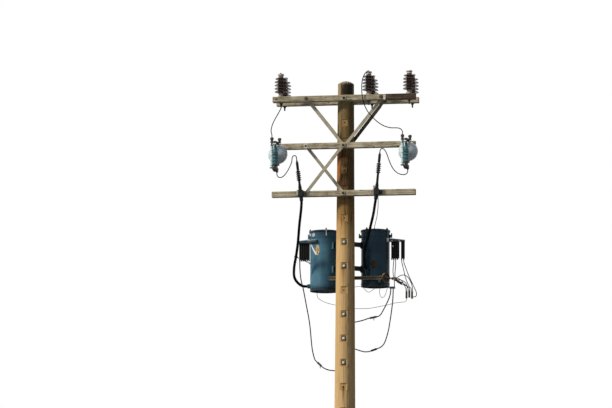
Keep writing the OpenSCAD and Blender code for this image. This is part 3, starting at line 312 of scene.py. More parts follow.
# One within the half width and half height of each hole, and nought elsewhere
def nearHoles(tree, axes, halfWidth, halfHeight):
    drop = addNode(tree, "Math", (boltHoles["first"], axes["Z"]), operation="SUBTRACT")
    fromHole = addNode(tree, "Math", (drop, boltHoles["pitch"] / 2), operation="PINGPONG")
    level = addNode(tree, "Math", (fromHole, 0.0, halfHeight), operation="COMPARE")
    middle = addNode(tree, "Math", (axes["X"], 0.0, halfWidth), operation="COMPARE")
    return narrowMask(tree, level, [middle])


# Each finish has its dark and light patches, its specks and its dust, the dust's share, the patches'
# and specks' size in millimetres, the noise from which specks show, its roughness, and its bump in
# millimetres. Some have more: shader values, a stretch, a tone below a height, or nuts.
mottledFinishes = {
    # Hot-dip zinc on steel, gone dull: grey with darker spangle and thin rust
    "dullHotDipZinc": (
        "928d79 b3af9b 74644c c4c0aa", 0.4, 90, 26, 0.6, (0.55, 0.75), 0.6, {"Metallic": 0.15}),
    # The same zinc, mostly gone: dark brown rust, paler on what faces up. On the rear right brace it is
    # painted shade
    "rustedZincAndPaintedShade": (
        "1f1811 3d3123 6d5a3f b9a57f", 0.8, 70, 22, 0.64, (0.65, 0.85), 1.0, {"Metallic": 0.1}),
    # Insulator feet: zinc still pale on top of the arms, and rusted on the studs below them
    "insulatorFootZinc": (
        "a39d89 c9c4b0 7f735c d6d2bf", 0.4, 60, 18, 0.62, (0.55, 0.75), 0.6, {"low": ("2b231a", 8.923)}),
    # Through bolts: on the arms the plates are pale and the nuts rusted. Below the arms the plates are
    # darkened as painted shade of the recesses that they sit in, and the nuts are near white, partly pale
    # zinc and partly a painted highlight.
    # The nuts have their half width, their two tones and the height below which they are bright.
    "weatheredBoltZinc": (
        "948a70 c4bba0 75695a cdc4a8", 0.4, 30, 12, 0.6, (0.55, 0.8), 0.8,
        {"Metallic": 0.1, "low": ("4a3c2a", 7.6), "nuts": (0.0145, "2c2118", "ecece4", 7.6)}),
    # Black iron bolts that have rusted right through their zinc
    "rustedBoltSteel": ("2b1e16 563f2d 81684a 74604a", 0.3, 24, 9, 0.62, (0.7, 0.9), 0.8, {}),
    # Pale zinc-grey for edges
    "wornZincEdge": ("8d7d60 c2b28f 5b4a33 cbbd9b", 0.3, 60, 14, 0.6, (0.55, 0.75), 0.4, {}),
    # Cast aluminium of the bands and connectors: light grey, pitted
    "pittedCastAluminium": (
        "8f8d84 c2c0b4 5c564b cfcdc2", 0.4, 40, 12, 0.62, (0.4, 0.6), 0.8, {"Metallic": 0.5}),
    # Bronze castings: brown-black tarnish, rubbed paler in spots
    "tarnishedBronze": (
        "15120e 36302a 84765c 7d7058", 0.3, 36, 11, 0.64, (0.5, 0.7), 0.6, {"Metallic": 0.3}),
    # Wet-process porcelain with a chocolate glaze, a little dusty on top of each shed
    "chocolateGlaze": (
        "1f0e0a 431f18 4d2c23 5b4338", 0.2, 60, 12, 0.66, (0.2, 0.35), 0.2,
        {"Coat Weight": 0.15, "Coat Roughness": 0.12, "Specular IOR Level": 0.35}),
    # Sky-white porcelain glaze, smooth, with faint grey-blue dirt in runs. Its pale blue tint is partly its
    # own and partly painted light, the blue of the sky kept even in shade
    "skyWhiteGlaze": (
        "cbe2ed dfeef5 b6d1de e0ebf0", 0.4, 260, 60, 0.62, (0.2, 0.32), 0.1,
        {"Coat Weight": 0.15, "Coat Roughness": 0.1, "stretch": (1, 1, 0.3)}),
    # Unglazed buff porcelain
    "buffPorcelain": ("b39f7c d6c6a4 8b7856 cdbf9f", 0.3, 30, 8, 0.64, (0.4, 0.55), 0.2, {}),
    # Teal epoxy over a glass-fibre barrel, paler on what faces up, which picks out its ribs, on a dark cast
    # foot
    "tealEpoxyBarrel": (
        "063f4a 1d6772 437d84 5f8f94", 0.4, 40, 14, 0.64, (0.3, 0.45), 0.3,
        {"Specular IOR Level": 0.35, "low": ("1f1a14", 8.083)}),
    # Paint over steel on the brackets and clamps: almost black, dusty on top
    "bitumenPaint": (
        "0b0d0f 1b1f22 33291f 43443f", 0.3, 60, 16, 0.63, (0.55, 0.75), 0.6, {"Specular IOR Level": 0.25}),
    # Moulded rubber of the cable heads and bushings: matt black, greyed by the sun
    "mouldedRubber": (
        "08090a 141617 292b2c 444647", 0.25, 50, 12, 0.66, (0.6, 0.8), 0.4, {"Specular IOR Level": 0.18}),
    # The cable heads' rubber where salt and dust have greyed it, between the sheds
    "greyedRubber": (
        "77797a a2a4a3 55585a aeb0ae", 0.3, 30, 8, 0.62, (0.7, 0.85), 0.3, {"Specular IOR Level": 0.2}),
    # Nitrile gasket under the lids
    "nitrileGasket": (
        "121314 1d1f20 2d2f30 4a4c4d", 0.2, 40, 9, 0.66, (0.6, 0.75), 0.2, {"Specular IOR Level": 0.3}),
    # Extruded polythene jacket of the leads: black, a little dusty along the top
    "polytheneJacket": (
        "050607 0e1012 1b1d1f 2e3032", 0.2, 80, 18, 0.66, (0.75, 0.9), 0.3, {"Specular IOR Level": 0.06}),
    # Lids and hoods in a darker, patchy version of the tanks' enamel
    "darkPatchyEnamel": (
        "16242d 294150 3b5360 5d7682", 0.5, 80, 20, 0.62, (0.4, 0.6), 0.3, {"Specular IOR Level": 0.35}),
    # Pale enamel for the hoods' folded edges
    "paleEdgeEnamel": (
        "6d8b9a a3bbc5 4a6473 b4c6cc", 0.3, 40, 12, 0.62, (0.5, 0.7), 0.3, {"Specular IOR Level": 0.3}),
    # White of the bare patches, uneven, and a card behind a film that has gone brown
    "whiteVinyl": (
        "e2e6e5 f2f4f3 c4c8c6 e6e8e6", 0.2, 30, 10, 0.66, (0.5, 0.65), 0.2, {"Specular IOR Level": 0.3}),
    "creamVinyl": (
        "e0b98a fbe3b5 7a5f40 e8d5ae", 0.2, 34, 14, 0.6, (0.5, 0.65), 0.3, {"Specular IOR Level": 0.3}),
    "brownedCard": (
        "43342a 6f5742 2b211a 74624f", 0.2, 34, 14, 0.6, (0.6, 0.75), 0.3, {"Specular IOR Level": 0.25}),
}


# Finish with patches of two tones, specks of a third, dust on what faces up, and a fine bump
def mottledMaterial(name, tones, dustShare, patchMm, speckMm, speckFrom, roughness, bumpMm, more):
    material, tree, place, axes = startMaterial(name)
    dark, light, speck, dust = tones.split()
    along = addNode(tree, "Mapping", {"Vector": place, "Scale": more.get("stretch", (1, 1, 1))})
    patches = addNode(tree, "TexNoise", {
        "Vector": along, "Scale": 1000 / patchMm, "Detail": 4.0, "Roughness": 0.6})
    specks = addNode(tree, "TexNoise", {
        "Vector": along, "Scale": 1000 / speckMm, "Detail": 3.0, "Roughness": 0.7})
    facing = addNode(tree, "SeparateXYZ", [addNode(tree, "NewGeometry").outputs["Normal"]]).outputs
    coats = [
        (addNode(tree, "MapRange", (specks, speckFrom, speckFrom + 0.1)), speck),
        (addNode(tree, "MapRange", (facing["Z"], 0.25, 1.0, 0.0, dustShare)), dust),
    ]
    if "low" in more:
        tone, height = more["low"]
        coats.append((addNode(tree, "Math", (axes["Z"], height), operation="LESS_THAN"), tone))
    # nuts: rusted, and below a height near white, partly a painted highlight
    if "nuts" in more:
        halfNut, rusted, bright, brightBelow = more["nuts"]
        nuts = nearHoles(tree, axes, halfNut, halfNut)
        low = addNode(tree, "Math", (axes["Z"], brightBelow), operation="LESS_THAN")
        coats += [(nuts, rusted), (narrowMask(tree, nuts, [low]), bright)]
    shine = {socket: value for socket, value in more.items() if socket not in ("low", "nuts", "stretch")}
    endMaterial(tree, addNode(tree, "ValToRGB", [patches], [(0.36, dark), (0.64, light)]), coats, {
        "Roughness": addNode(tree, "MapRange", (patches, 0.3, 0.7, *roughness)),
        "Normal": addNode(tree, "Bump", {"Height": specks, "Strength": 0.6, "Distance": bumpMm / 1000}),
        **shine})
    return material


# Noise drawn out along the grain, as fibres and as broader streaks, and blotches that aren't
def woodNoises(tree, place, look):
    along = addNode(tree, "Mapping", {"Vector": place, "Scale": look["grainAlong"]})
    grain = addNode(tree, "TexNoise", {
        "Vector": along, "Scale": 1000 / look["grainMm"], "Detail": 5.0, "Roughness": 0.65})
    streaks = addNode(tree, "TexNoise", {
        "Vector": along, "Scale": 1000 / look["streakMm"], "Detail": 3.0, "Distortion": look["streakTwist"]})
    blotches = addNode(tree, "TexNoise", {"Vector": place, "Scale": look["blotchScale"], "Detail": 4.0})
    return grain, streaks, blotches


# Long cracks: thin lines where a drawn-out noise crosses its middle
def woodCracks(tree, place, look, strength):
    along = addNode(tree, "Mapping", {"Vector": place, "Scale": look["crackAlong"]})
    ridge = addNode(tree, "TexNoise", {"Vector": along, "Scale": 1000 / look["crackMm"], "Detail": 1.0})
    away = addNode(tree, "Math", (ridge, 0.5), operation="SUBTRACT")
    line = addNode(tree, "Math", [away], operation="ABSOLUTE")
    return addNode(tree, "MapRange", (line, *look["crackWidths"], 0.0, strength))


def endWood(tree, wood, coats, grain, cracks, look):
    fine = addNode(tree, "Bump", {"Height": grain, "Strength": 0.7, "Distance": look["grainDepth"]})
    deep = addNode(tree, "Bump", {
        "Height": cracks, "Strength": 0.9, "Distance": look["crackDepth"], "Normal": fine}, invert=True)
    endMaterial(tree, wood, coats, {
        "Normal": deep, "Roughness": look["roughness"], "Specular IOR Level": look["specular"]})


# Pressure-treated pine pole: weathered golden at the sides, browner between the arms, with long
# drying checks, black run-off under the crown and rust below the bolt holes
poleWood = {
    "zoneFrom": 5.17,
    "zoneTo": 9.42,
    "zoneWander": 0.35,
    "zones": [
        (0.0, "e0be8a"), (0.50, "dcb881"), (0.545, "cda66e"), (0.58, "a8824f"), (0.64, "8d6f45"),
        (0.66, "5b4429"), (0.76, "5f472b"), (0.785, "7c6541"), (0.90, "84704b"), (0.95, "b09a70"),
        (1.0, "aba289")
    ],
    "grainMm": 16, "streakMm": 60, "streakTwist": 0.3, "blotchScale": 7.0, "grainAlong": (1, 1, 0.05),
    "crackMm": 46, "crackAlong": (1, 1, 0.022), "crackWidths": (0.022, 0.006), "crack": "2c1e12",
    "grainDepth": 0.004, "crackDepth": 0.006, "roughness": 0.86, "specular": 0.25,
    "roughFrom": (7.1, 7.6), "lowerDetail": 0.3,
    "orange": "b4702f", "orangeAcross": (-0.015, -0.095), "orangeFrom": 7.79, "orangeTo": 8.37,
    "soot": "1a140d", "sootFrom": 9.02, "sootTo": 9.14, "sootMiddle": 0.022, "sootHalfWidth": 0.062,
    "cut": "b08f5c", "cutHalfWidth": 0.037, "cutHalfHeight": 0.05, "cutShare": 0.6,
    "rust": "6e3216",
    "stains": [  # across, top, fall, half width and strength of each
        (0.0, 5.3, 0.26, 0.022, 0.9), (0.0, 8.045, 0.1, 0.02, 0.5), (-0.01, 6.79, 0.24, 0.045, 0.5)
    ],
}


def poleWoodMaterial(look):
    material, tree, place, axes = startMaterial("weatheredPinePole")
    grain, streaks, blotches = woodNoises(tree, place, look)
    wander = addNode(tree, "Math", (blotches, look["zoneWander"], axes["Z"]), operation="MULTIPLY_ADD")
    height = addNode(tree, "MapRange", (wander, look["zoneFrom"], look["zoneTo"]))
    weathering = addNode(tree, "MapRange", (axes["Z"], *look["roughFrom"], look["lowerDetail"], 1.0))
    grainTone = addNode(tree, "MapRange", (grain, 0.3, 0.7, -0.3, 0.12))
    streakTone = addNode(tree, "MapRange", (streaks, 0.3, 0.68, -0.4, 0.15))
    swing = addNode(tree, "Math", (grainTone, streakTone), operation="ADD")
    tone = addNode(tree, "Math", (swing, weathering, 1.0), operation="MULTIPLY_ADD")
    coats = [(1.0, tone, "MULTIPLY")]

    # orange run-off on the left between the middle and lower arms
    runs = addNode(tree, "MapRange", (streaks, 0.4, 0.55))
    coats.append((narrowMask(tree, runs, [
        (axes["X"], *look["orangeAcross"]),
        (axes["Z"], look["orangeTo"] + 0.03, look["orangeTo"]),
        (axes["Z"], look["orangeFrom"] - 0.2, look["orangeFrom"])]), look["orange"]))

    # black run-off below the crown's rim, in the middle
    darkRuns = addNode(tree, "MapRange", (streaks, 0.4, 0.5))
    fromMiddle = addNode(tree, "Math", (axes["X"], look["sootMiddle"]), operation="SUBTRACT")
    across = addNode(tree, "Math", [fromMiddle], operation="ABSOLUTE")
    coats.append((narrowMask(tree, darkRuns, [
        (across, look["sootHalfWidth"] + 0.025, look["sootHalfWidth"]),
        (axes["Z"], look["sootFrom"] - 0.03, look["sootFrom"]),
        (axes["Z"], look["sootTo"] + 0.03, look["sootTo"])]), look["soot"]))

    # the flats cut round the bolt holes on the front are fresher, paler wood
    onFront = addNode(tree, "Math", (axes["Y"], 0.0), operation="LESS_THAN")
    flats = nearHoles(tree, axes, look["cutHalfWidth"], look["cutHalfHeight"])
    coats.append((narrowMask(tree, flats, [onFront, look["cutShare"]]), look["cut"]))

    # rust that runs down the front from some of the holes
    for middle, top, fall, halfWidth, strength in look["stains"]:
        aside = addNode(tree, "Math", (axes["X"], middle), operation="SUBTRACT")
        width = addNode(tree, "Math", [aside], operation="ABSOLUTE")
        under = addNode(tree, "Math", (axes["Z"], top + 0.01), operation="LESS_THAN")
        coats.append((narrowMask(tree, onFront, [
            under, (width, halfWidth, 0.2 * halfWidth, 0.0, strength),
            (axes["Z"], top - fall, top)]), look["rust"]))

    cracks = woodCracks(tree, place, look, weathering)
    coats.append((cracks, look["crack"]))
    endWood(tree, addNode(tree, "ValToRGB", [height], look["zones"]), coats, grain, cracks, look)
    return material


# Sawn fir arms: silver-grey weathering over tan, grain and splits along the arm, dark knots, and rust
# round the bolts of the top arms' braces. One stretch of the front top arm is stained dark brown.
armWood = {
    "tones": [(0.5, "877e6a"), (0.68, "b3aa92"), (0.9, "d3cbb2")],
    "grainMm": 14, "streakMm": 45, "streakTwist": 0.2, "blotchScale": 9.0, "grainAlong": (0.05, 1, 1),
    "crackMm": 40, "crackAlong": (0.05, 1, 1), "crackWidths": (0.012, 0.003), "crack": "3c3226",
    "grainDepth": 0.003, "crackDepth": 0.005, "roughness": 0.88, "specular": 0.25, "crackStrength": 0.8,
    "knotMm": 120, "knotAlong": (0.6, 1, 1), "knot": "33251b",
    "stain": "301a14",
    "stainLimits": [
        ("X", 0.54, "GREATER_THAN"), ("X", 0.92, "LESS_THAN"),
        ("Z", 8.9, "GREATER_THAN"), ("Y", -0.1, "LESS_THAN")
    ],
    "boltRust": "46291c", "boltRustPlace": (0.48, 8.96, 0.0), "boltRustReach": 0.036,
}


def armWoodMaterial(look):
    material, tree, place, axes = startMaterial("weatheredSawnFir")
    grain, streaks, blotches = woodNoises(tree, place, look)
    mixed = addNode(tree, "Math", (streaks, 0.5, blotches), operation="MULTIPLY_ADD")
    cracks = woodCracks(tree, place, look, look["crackStrength"])
    knotsAlong = addNode(tree, "Mapping", {"Vector": place, "Scale": look["knotAlong"]})
    cells = addNode(tree, "TexVoronoi", {
        "Vector": knotsAlong, "Scale": 1000 / look["knotMm"], "Randomness": 1.0})
    stained = addNode(tree, "MapRange", (grain, 0.3, 0.6, 0.98, 0.78))
    stainMask = narrowMask(tree, stained, [
        addNode(tree, "Math", (axes[axis], limit), operation=test)
        for axis, limit, test in look["stainLimits"]])
    across = addNode(tree, "Math", [axes["X"]], operation="ABSOLUTE")
    seen = addNode(tree, "CombineXYZ", (across, axes["Z"]))
    fromBolt = addNode(tree, "VectorMath", (seen, look["boltRustPlace"]), operation="DISTANCE")
    reach = look["boltRustReach"]
    coats = [
        (1.0, addNode(tree, "MapRange", (grain, 0.3, 0.7, 0.76, 1.12)), "MULTIPLY"),
        (addNode(tree, "MapRange", (cells, 0.17, 0.08)), look["knot"]),
        (cracks, look["crack"]),
        (stainMask, look["stain"]),
        (addNode(tree, "MapRange", (fromBolt, reach, 0.5 * reach, 0.0, 0.85)), look["boltRust"]),
    ]
    endWood(tree, addNode(tree, "ValToRGB", [mixed], look["tones"]), coats, grain, cracks, look)
    return material


# Satin alkyd enamel on sheet steel: blue-grey, chalked in vertical runs, with rust pinholes, a
# darker band at the bottom edge, and undersides painted near black as shade
tankEnamel = {
    "dark": "2f5870",
    "light": "4c7c95",
    "runMm": 42,
    "chalk": "6f8f9d",
    "rust": "5a3420",
    # near black: a darker band at the bottom edge, and painted shade on the undersides
    "grime": "0d1417",
    "edge": 6.6,
    # painted shade on the right tank, and painted light on the tanks' left-facing side
    "rightShadeTone": 0.34,
    "litSideTones": (0.85, 1.1),
    "peelMm": 9,
    "specular": 0.16,
}


def tankEnamelMaterial(look):
    material, tree, place, axes = startMaterial("satinAlkydEnamel")
    facing = addNode(tree, "SeparateXYZ", [addNode(tree, "NewGeometry").outputs["Normal"]]).outputs
    falling = addNode(tree, "Mapping", {"Vector": place, "Scale": (1, 1, 0.08)})
    runs = addNode(tree, "TexNoise", {
        "Vector": falling, "Scale": 1000 / look["runMm"], "Detail": 4.0, "Roughness": 0.6})
    clouds = addNode(tree, "TexNoise", {"Vector": place, "Scale": 5.0, "Detail": 5.0})
    paint = addNode(tree, "ValToRGB", [clouds], [(0.35, look["dark"]), (0.65, look["light"])])
    pits = addNode(tree, "TexVoronoi", {"Vector": place, "Scale": 28.0})
    pitMask = addNode(tree, "MapRange", (pits, 0.09, 0.04))
    # painted shade and light: the right tank is darkened for the pole's shadow that falls on it, and the
    # side of both that faces left, towards the key lamp, is painted a little lighter
    poleShadowTone = addNode(tree, "MapRange", (axes["X"], -0.01, 0.01, 1.0, look["rightShadeTone"]))
    litSideTone = addNode(tree, "MapRange", (facing["X"], 1.0, -1.0, *look["litSideTones"]))
    depth = addNode(tree, "Math", (poleShadowTone, litSideTone), operation="MULTIPLY")
    # undersides painted near black as shade, and made matt
    underside = addNode(tree, "MapRange", (facing["Z"], -0.5, -0.8))
    bottomBand = addNode(tree, "MapRange", (axes["Z"], look["edge"] + 0.04, look["edge"] - 0.02, 0.0, 0.8))
    coats = [
        (addNode(tree, "MapRange", (runs, 0.52, 0.75, 0.0, 0.25)), look["chalk"]),
        (narrowMask(tree, pitMask, [(clouds, 0.5, 0.62)]), look["rust"]),
        (bottomBand, look["grime"]),
        (1.0, depth, "MULTIPLY"),
        (underside, look["grime"]),
    ]
    gloss = addNode(tree, "MapRange", (runs, 0.3, 0.7, 0.38, 0.55))
    peel = addNode(tree, "TexNoise", {"Vector": place, "Scale": 1000 / look["peelMm"], "Detail": 2.0})
    endMaterial(tree, paint, coats, {
        "Roughness": addNode(tree, "Math", (gloss, underside), operation="MAXIMUM"),
        "Normal": addNode(tree, "Bump", {"Height": peel, "Strength": 0.25, "Distance": 0.001}),
        "Specular IOR Level": look["specular"]})
    return material


finishes = {name: mottledMaterial(name, *finish) for name, finish in mottledFinishes.items()}
finishes["weatheredPinePole"] = poleWoodMaterial(poleWood)
finishes["weatheredSawnFir"] = armWoodMaterial(armWood)
finishes["satinAlkydEnamel"] = tankEnamelMaterial(tankEnamel)
print("materials made:", len(finishes))

# Finish of each node by the end of its name: the first that fits counts
nodeFinishes = {
    "_insulator": "chocolateGlaze", "_knobs": "chocolateGlaze", "spools": "chocolateGlaze",
    "_dome": "skyWhiteGlaze", "_fuse": "tealEpoxyBarrel",
    "_cutout_frame": "tarnishedBronze", "lead_connectors": "tarnishedBronze",
    "_tank": "satinAlkydEnamel", "_lid": "darkPatchyEnamel", "terminal_hoods": "darkPatchyEnamel",
    "cable_clamps": "bitumenPaint", "transformer_brackets": "bitumenPaint",
    "cable_heads": "mouldedRubber", "low_voltage_bushings": "mouldedRubber",
    # the rear right brace takes the dark rusted finish as painted shade
    "rear_right_brace": "rustedZincAndPaintedShade", "_brace": "dullHotDipZinc",
    "through_bolts": "weatheredBoltZinc", "brace_bolts": "rustedBoltSteel", "_bolts": "dullHotDipZinc",
    "insulator_pins": "insulatorFootZinc", "spool_rack": "dullHotDipZinc",
    "service_arm": "rustedZincAndPaintedShade", "_arm": "weatheredSawnFir", "pole": "weatheredPinePole",
    "_cables": "polytheneJacket", "_leads": "polytheneJacket",
}
for nodeName, part in nodes.items():
    ending = next(ending for ending in nodeFinishes if nodeName.endswith(ending))
    finish = finishes[nodeFinishes[ending]]
    if not part.material_slots:
        part.data.materials.append(finish)
    for materialSlot in part.material_slots:
        materialSlot.material = finish
for cord in cords:
    cord.data.materials.append(finishes["polytheneJacket"])
print("nodes dressed:", len(nodes))


def makePiece(name, shape, finish, body="root"):
    bmesh.ops.remove_doubles(shape, verts=shape.verts, dist=0.00001)
    bmesh.ops.recalc_face_normals(shape, faces=shape.faces)
    mesh = bpy.data.meshes.new(name)
    shape.to_mesh(mesh)
    shape.free()
    mesh.materials.append(finishes[finish])
    piece = bpy.data.objects.new(name, mesh)
    scene.collection.objects.link(piece)
    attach(piece, body)


# Ring or arc turned from a profile of radius and height about an upright line, then put in place
def addRing(shape, place, profile, steps=48, sweep=360.0):
    before = set(shape.verts)
    corners = [shape.verts.new((r, 0.0, z)) for r, z in profile]
    edges = [shape.edges.new((corners[i - 1], corners[i])) for i in range(len(corners))]
    bmesh.ops.spin(shape, geom=corners + edges, cent=(0, 0, 0), axis=(0, 0, 1),
                   angle=math.radians(sweep), steps=steps, use_merge=sweep == 360.0)
    if sweep < 360.0:
        bmesh.ops.holes_fill(shape, edges=[edge for edge in shape.edges if edge.is_boundary])
    made = [corner for corner in shape.verts if corner not in before]
    bmesh.ops.transform(shape, matrix=place, verts=made)


# Square-cornered profile of a ring, with its outer corners rounded off
def bandProfile(inner, outer, base, top, soft=0.001):
    return [(inner, base), (outer - soft, base), (outer, base + soft),
            (outer, top - soft), (outer - soft, top), (inner, top)]


# Rounds the edges of what an operator has just made
def soften(shape, made, edge):
    edges = list({joined for corner in made["verts"] for joined in corner.link_edges})
    bmesh.ops.bevel(shape, geom=edges, offset=edge, affect="EDGES", segments=2, profile=0.5, material=-1)


# Block with rounded edges, turned about the vertical by some degrees
def addBlock(shape, middle, size, turn=0.0, edge=0.001):
    place = Matrix.Translation(middle) @ Matrix.Rotation(math.radians(turn), 4, "Z")
    stretch = Matrix.Diagonal((*size, 1.0))
    soften(shape, bmesh.ops.create_cube(shape, size=1.0, matrix=place @ stretch), edge)


# Bar with rounded edges from one place to another
def addBar(shape, start, end, width, thick, edge):
    run = Vector(end) - Vector(start)
    middle = (Vector(start) + Vector(end)) / 2
    place = Matrix.Translation(middle) @ run.to_track_quat("Z", "Y").to_matrix().to_4x4()
    stretch = Matrix.Diagonal((width, thick, run.length, 1.0))
    soften(shape, bmesh.ops.create_cube(shape, size=1.0, matrix=place @ stretch), edge)


# Six-sided nut or bolt head with bevelled corners
def addNut(shape, place, radius, height):
    made = bmesh.ops.create_cone(shape, cap_ends=True, segments=6, radius1=radius, radius2=radius,
                                 depth=height, matrix=place)
    soften(shape, made, 0.12 * radius)


# Cast bands round the insulators: inner and outer radius, foot and top from the insulator's own top,
# and rounding
insulatorBands = {
    "neck": (0.0262, 0.0335, -0.034, -0.022, 0.0015),
    "head": (0.0362, 0.0395, -0.0155, 0.002, 0.0015),
}


def makeInsulatorBands(bands):
    shape = bmesh.new()
    for nodeName in nodes:
        if nodeName.endswith("_insulator"):
            low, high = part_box(nodeName)
            place = Matrix.Translation(((low.x + high.x) / 2, (low.y + high.y) / 2, high.z))
            for band in bands.values():
                addRing(shape, place, bandProfile(*band))
    makePiece("insulator_bands", shape, "pittedCastAluminium")


makeInsulatorBands(insulatorBands)

# Middles and radii of the tanks' shells
tankShells = {"left": (-0.325, 0.37, 0.188), "right": (0.325, 0.37, 0.181)}


def atTank(side, angle, out, height):
    x, y, radius = tankShells[side]
    turn = math.radians(angle)
    return Vector((x + (radius + out) * math.cos(turn), y + (radius + out) * math.sin(turn), height))


# Gaskets squeezed between the lids and the tanks
gasket = {"in": 0.001, "out": 0.0035, "base": 7.3035, "top": 7.3095, "steps": 96}


def makeGaskets(look):
    shape = bmesh.new()
    for x, y, radius in tankShells.values():
        profile = bandProfile(radius - look["in"], radius + look["out"], look["base"], look["top"])
        addRing(shape, Matrix.Translation((x, y, 0)), profile, look["steps"])
    makePiece("lid_gaskets", shape, "nitrileGasket")


makeGaskets(gasket)

# Nuts on the lids' clamps, and bright covers on those that have kept theirs
lidClamps = {
    "turns": {"left": 14, "right": 62}, "covered": {"left": (14, 104, 284), "right": (62,)},
    "out": 0.0156, "middle": 7.294, "coverSize": (0.0014, 0.016, 0.084), "coverEdge": 0.0006,
    "boltIn": 0.001, "nutMiddle": 7.3445, "nutRadius": 0.0095, "nutHeight": 0.008,
}


def makeLidClamps(look):
    covers = bmesh.new()
    nuts = bmesh.new()
    for side, firstTurn in look["turns"].items():
        for angle in range(firstTurn, firstTurn + 360, 90):
            if angle in look["covered"][side]:
                middle = atTank(side, angle, look["out"], look["middle"])
                addBlock(covers, middle, look["coverSize"], angle, look["coverEdge"])
            bolt = atTank(side, angle, look["boltIn"], look["nutMiddle"])
            addNut(nuts, Matrix.Translation(bolt), look["nutRadius"], look["nutHeight"])
    makePiece("lid_clamp_covers", covers, "pittedCastAluminium")
    makePiece("lid_clamp_nuts", nuts, "bitumenPaint")


makeLidClamps(lidClamps)

# Ledge on the left tank's front that carries on from its terminal hood, and the folded lips on both
hoodLedge = {
    "from": -180.0, "sweep": 70.0, "steps": 28, "in": 0.002, "out": 0.034, "low": 7.172, "high": 7.203,
    "soft": 0.003,
}
hoodLips = {
    "thick": 0.0025, "height": 0.009, "soft": 0.0008,
    "runs": [
        ((-0.661, 0.312, 7.205), (-0.51, 0.312, 7.2205)), ((0.504, 0.312, 7.2195), (0.706, 0.312, 7.195))
    ],
}


def makeHoodLedge(look, lips):
    x, y, radius = tankShells["left"]
    place = Matrix.Translation((x, y, 0)) @ Matrix.Rotation(math.radians(look["from"]), 4, "Z")
    shape = bmesh.new()
    ledge = bandProfile(radius - look["in"], radius + look["out"], look["low"], look["high"], look["soft"])
    addRing(shape, place, ledge, look["steps"], look["sweep"])
    makePiece("hood_ledge", shape, "darkPatchyEnamel")
    shape = bmesh.new()
    outer = radius + look["out"] + lips["thick"]
    inner = outer - 1.2 * lips["thick"]
    half = lips["height"] / 2
    lip = bandProfile(inner, outer, look["high"] - half, look["high"] + half, lips["soft"])
    addRing(shape, place, lip, look["steps"], look["sweep"])
    for start, end in lips["runs"]:
        addBar(shape, start, end, lips["thick"], lips["height"], lips["soft"])
    makePiece("hood_lips", shape, "paleEdgeEnamel")


makeHoodLedge(hoodLedge, hoodLips)

# Bare tags and patches that follow the tanks' curve: side, angle, height, half sizes, lean, roundness
tankTags = {
    "thick": 0.0012,
    "lift": 0.0016,
    "pieces": {
        # a white disc and a white strip on the left tank
        "white_patches": ("whiteVinyl", [
            ("left", -131.0, 7.274, 0.026, 0.024, 0.0, 1.0), ("left", -132.5, 7.088, 0.0115, 0.09, 38.0, 0.2)
        ]),
        "cream_tag": ("creamVinyl", [("left", -110.5, 7.075, 0.029, 0.066, 0.0, 1.2)]),
        "brown_tag": ("brownedCard", [("right", -89.0, 6.878, 0.038, 0.05, 0.0, 0.25)]),
    },
}


def addTag(shape, side, angle, height, halfWidth, halfHeight, lean, roundness):
    grid = bmesh.ops.create_grid(shape, x_segments=10, y_segments=16, size=1.0)["verts"]
    radius = tankShells[side][2]
    slant = math.radians(lean)
    for corner in grid:
        u, v = corner.co.x, corner.co.y
        across = u * math.sqrt(1 - roundness * v * v / 2) * halfWidth
        up = v * math.sqrt(1 - roundness * u * u / 2) * halfHeight
        aside = across * math.cos(slant) - up * math.sin(slant)
        climb = across * math.sin(slant) + up * math.cos(slant)
        turn = angle + math.degrees(aside / radius)
        corner.co = atTank(side, turn, tankTags["lift"], height + climb)
    faces = list({face for corner in grid for face in corner.link_faces})
    bmesh.ops.solidify(shape, geom=faces, thickness=tankTags["thick"])


for pieceName, (finish, tags) in tankTags["pieces"].items():
    shape = bmesh.new()
    for tag in tags:
        addTag(shape, *tag)
    makePiece(pieceName, shape, finish)

# Strap from the left cable to the tank, with a sleeve round the cable
cableStrap = {
    "start": (-0.655, 0.117, 6.98), "end": (-0.5075, 0.3035, 6.918), "width": 0.014, "thick": 0.006,
    "soft": 0.0015, "along": (-1.03, 2.37, -3.29), "sleeve": (0.0168, 0.0212, -0.012, 0.012), "steps": 32,
}


def makeCableStrap(look):
    shape = bmesh.new()
    addBar(shape, look["start"], look["end"], look["width"], look["thick"], look["soft"])
    turned = Vector(look["along"]).to_track_quat("Z", "Y").to_matrix().to_4x4()
    place = Matrix.Translation(look["start"]) @ turned
    addRing(shape, place, bandProfile(*look["sleeve"]), look["steps"])
    makePiece("cable_strap", shape, "bitumenPaint")


makeCableStrap(cableStrap)

# Fittings by the right tank's hood: a lug on the shell, a pale collar and two bolt heads
rightFittings = {
    "lug": (0.492, 0.288, 7.198), "lugSize": (0.034, 0.026, 0.05), "lugTurn": -28, "lugEdge": 0.003,
    "collar": (0.554, 0.35, 0.0), "collarProfile": (0.0102, 0.0145, 7.112, 7.138, 0.003), "steps": 32,
    "bolts": [(0.546, 0.3145, 7.192), (0.64, 0.3145, 7.188)], "boltRadius": 0.008, "boltHeight": 0.006,
}


def makeRightFittings(look):
    shape = bmesh.new()
    addBlock(shape, look["lug"], look["lugSize"], look["lugTurn"], look["lugEdge"])
    for bolt in look["bolts"]:
        place = Matrix.Translation(bolt) @ Matrix.Rotation(math.radians(90), 4, "X")
        addNut(shape, place, look["boltRadius"], look["boltHeight"])
    makePiece("hood_bolts", shape, "pittedCastAluminium")
    shape = bmesh.new()
    place = Matrix.Translation(look["collar"])
    addRing(shape, place, bandProfile(*look["collarProfile"]), look["steps"])
    makePiece("pale_collar", shape, "buffPorcelain")


makeRightFittings(rightFittings)

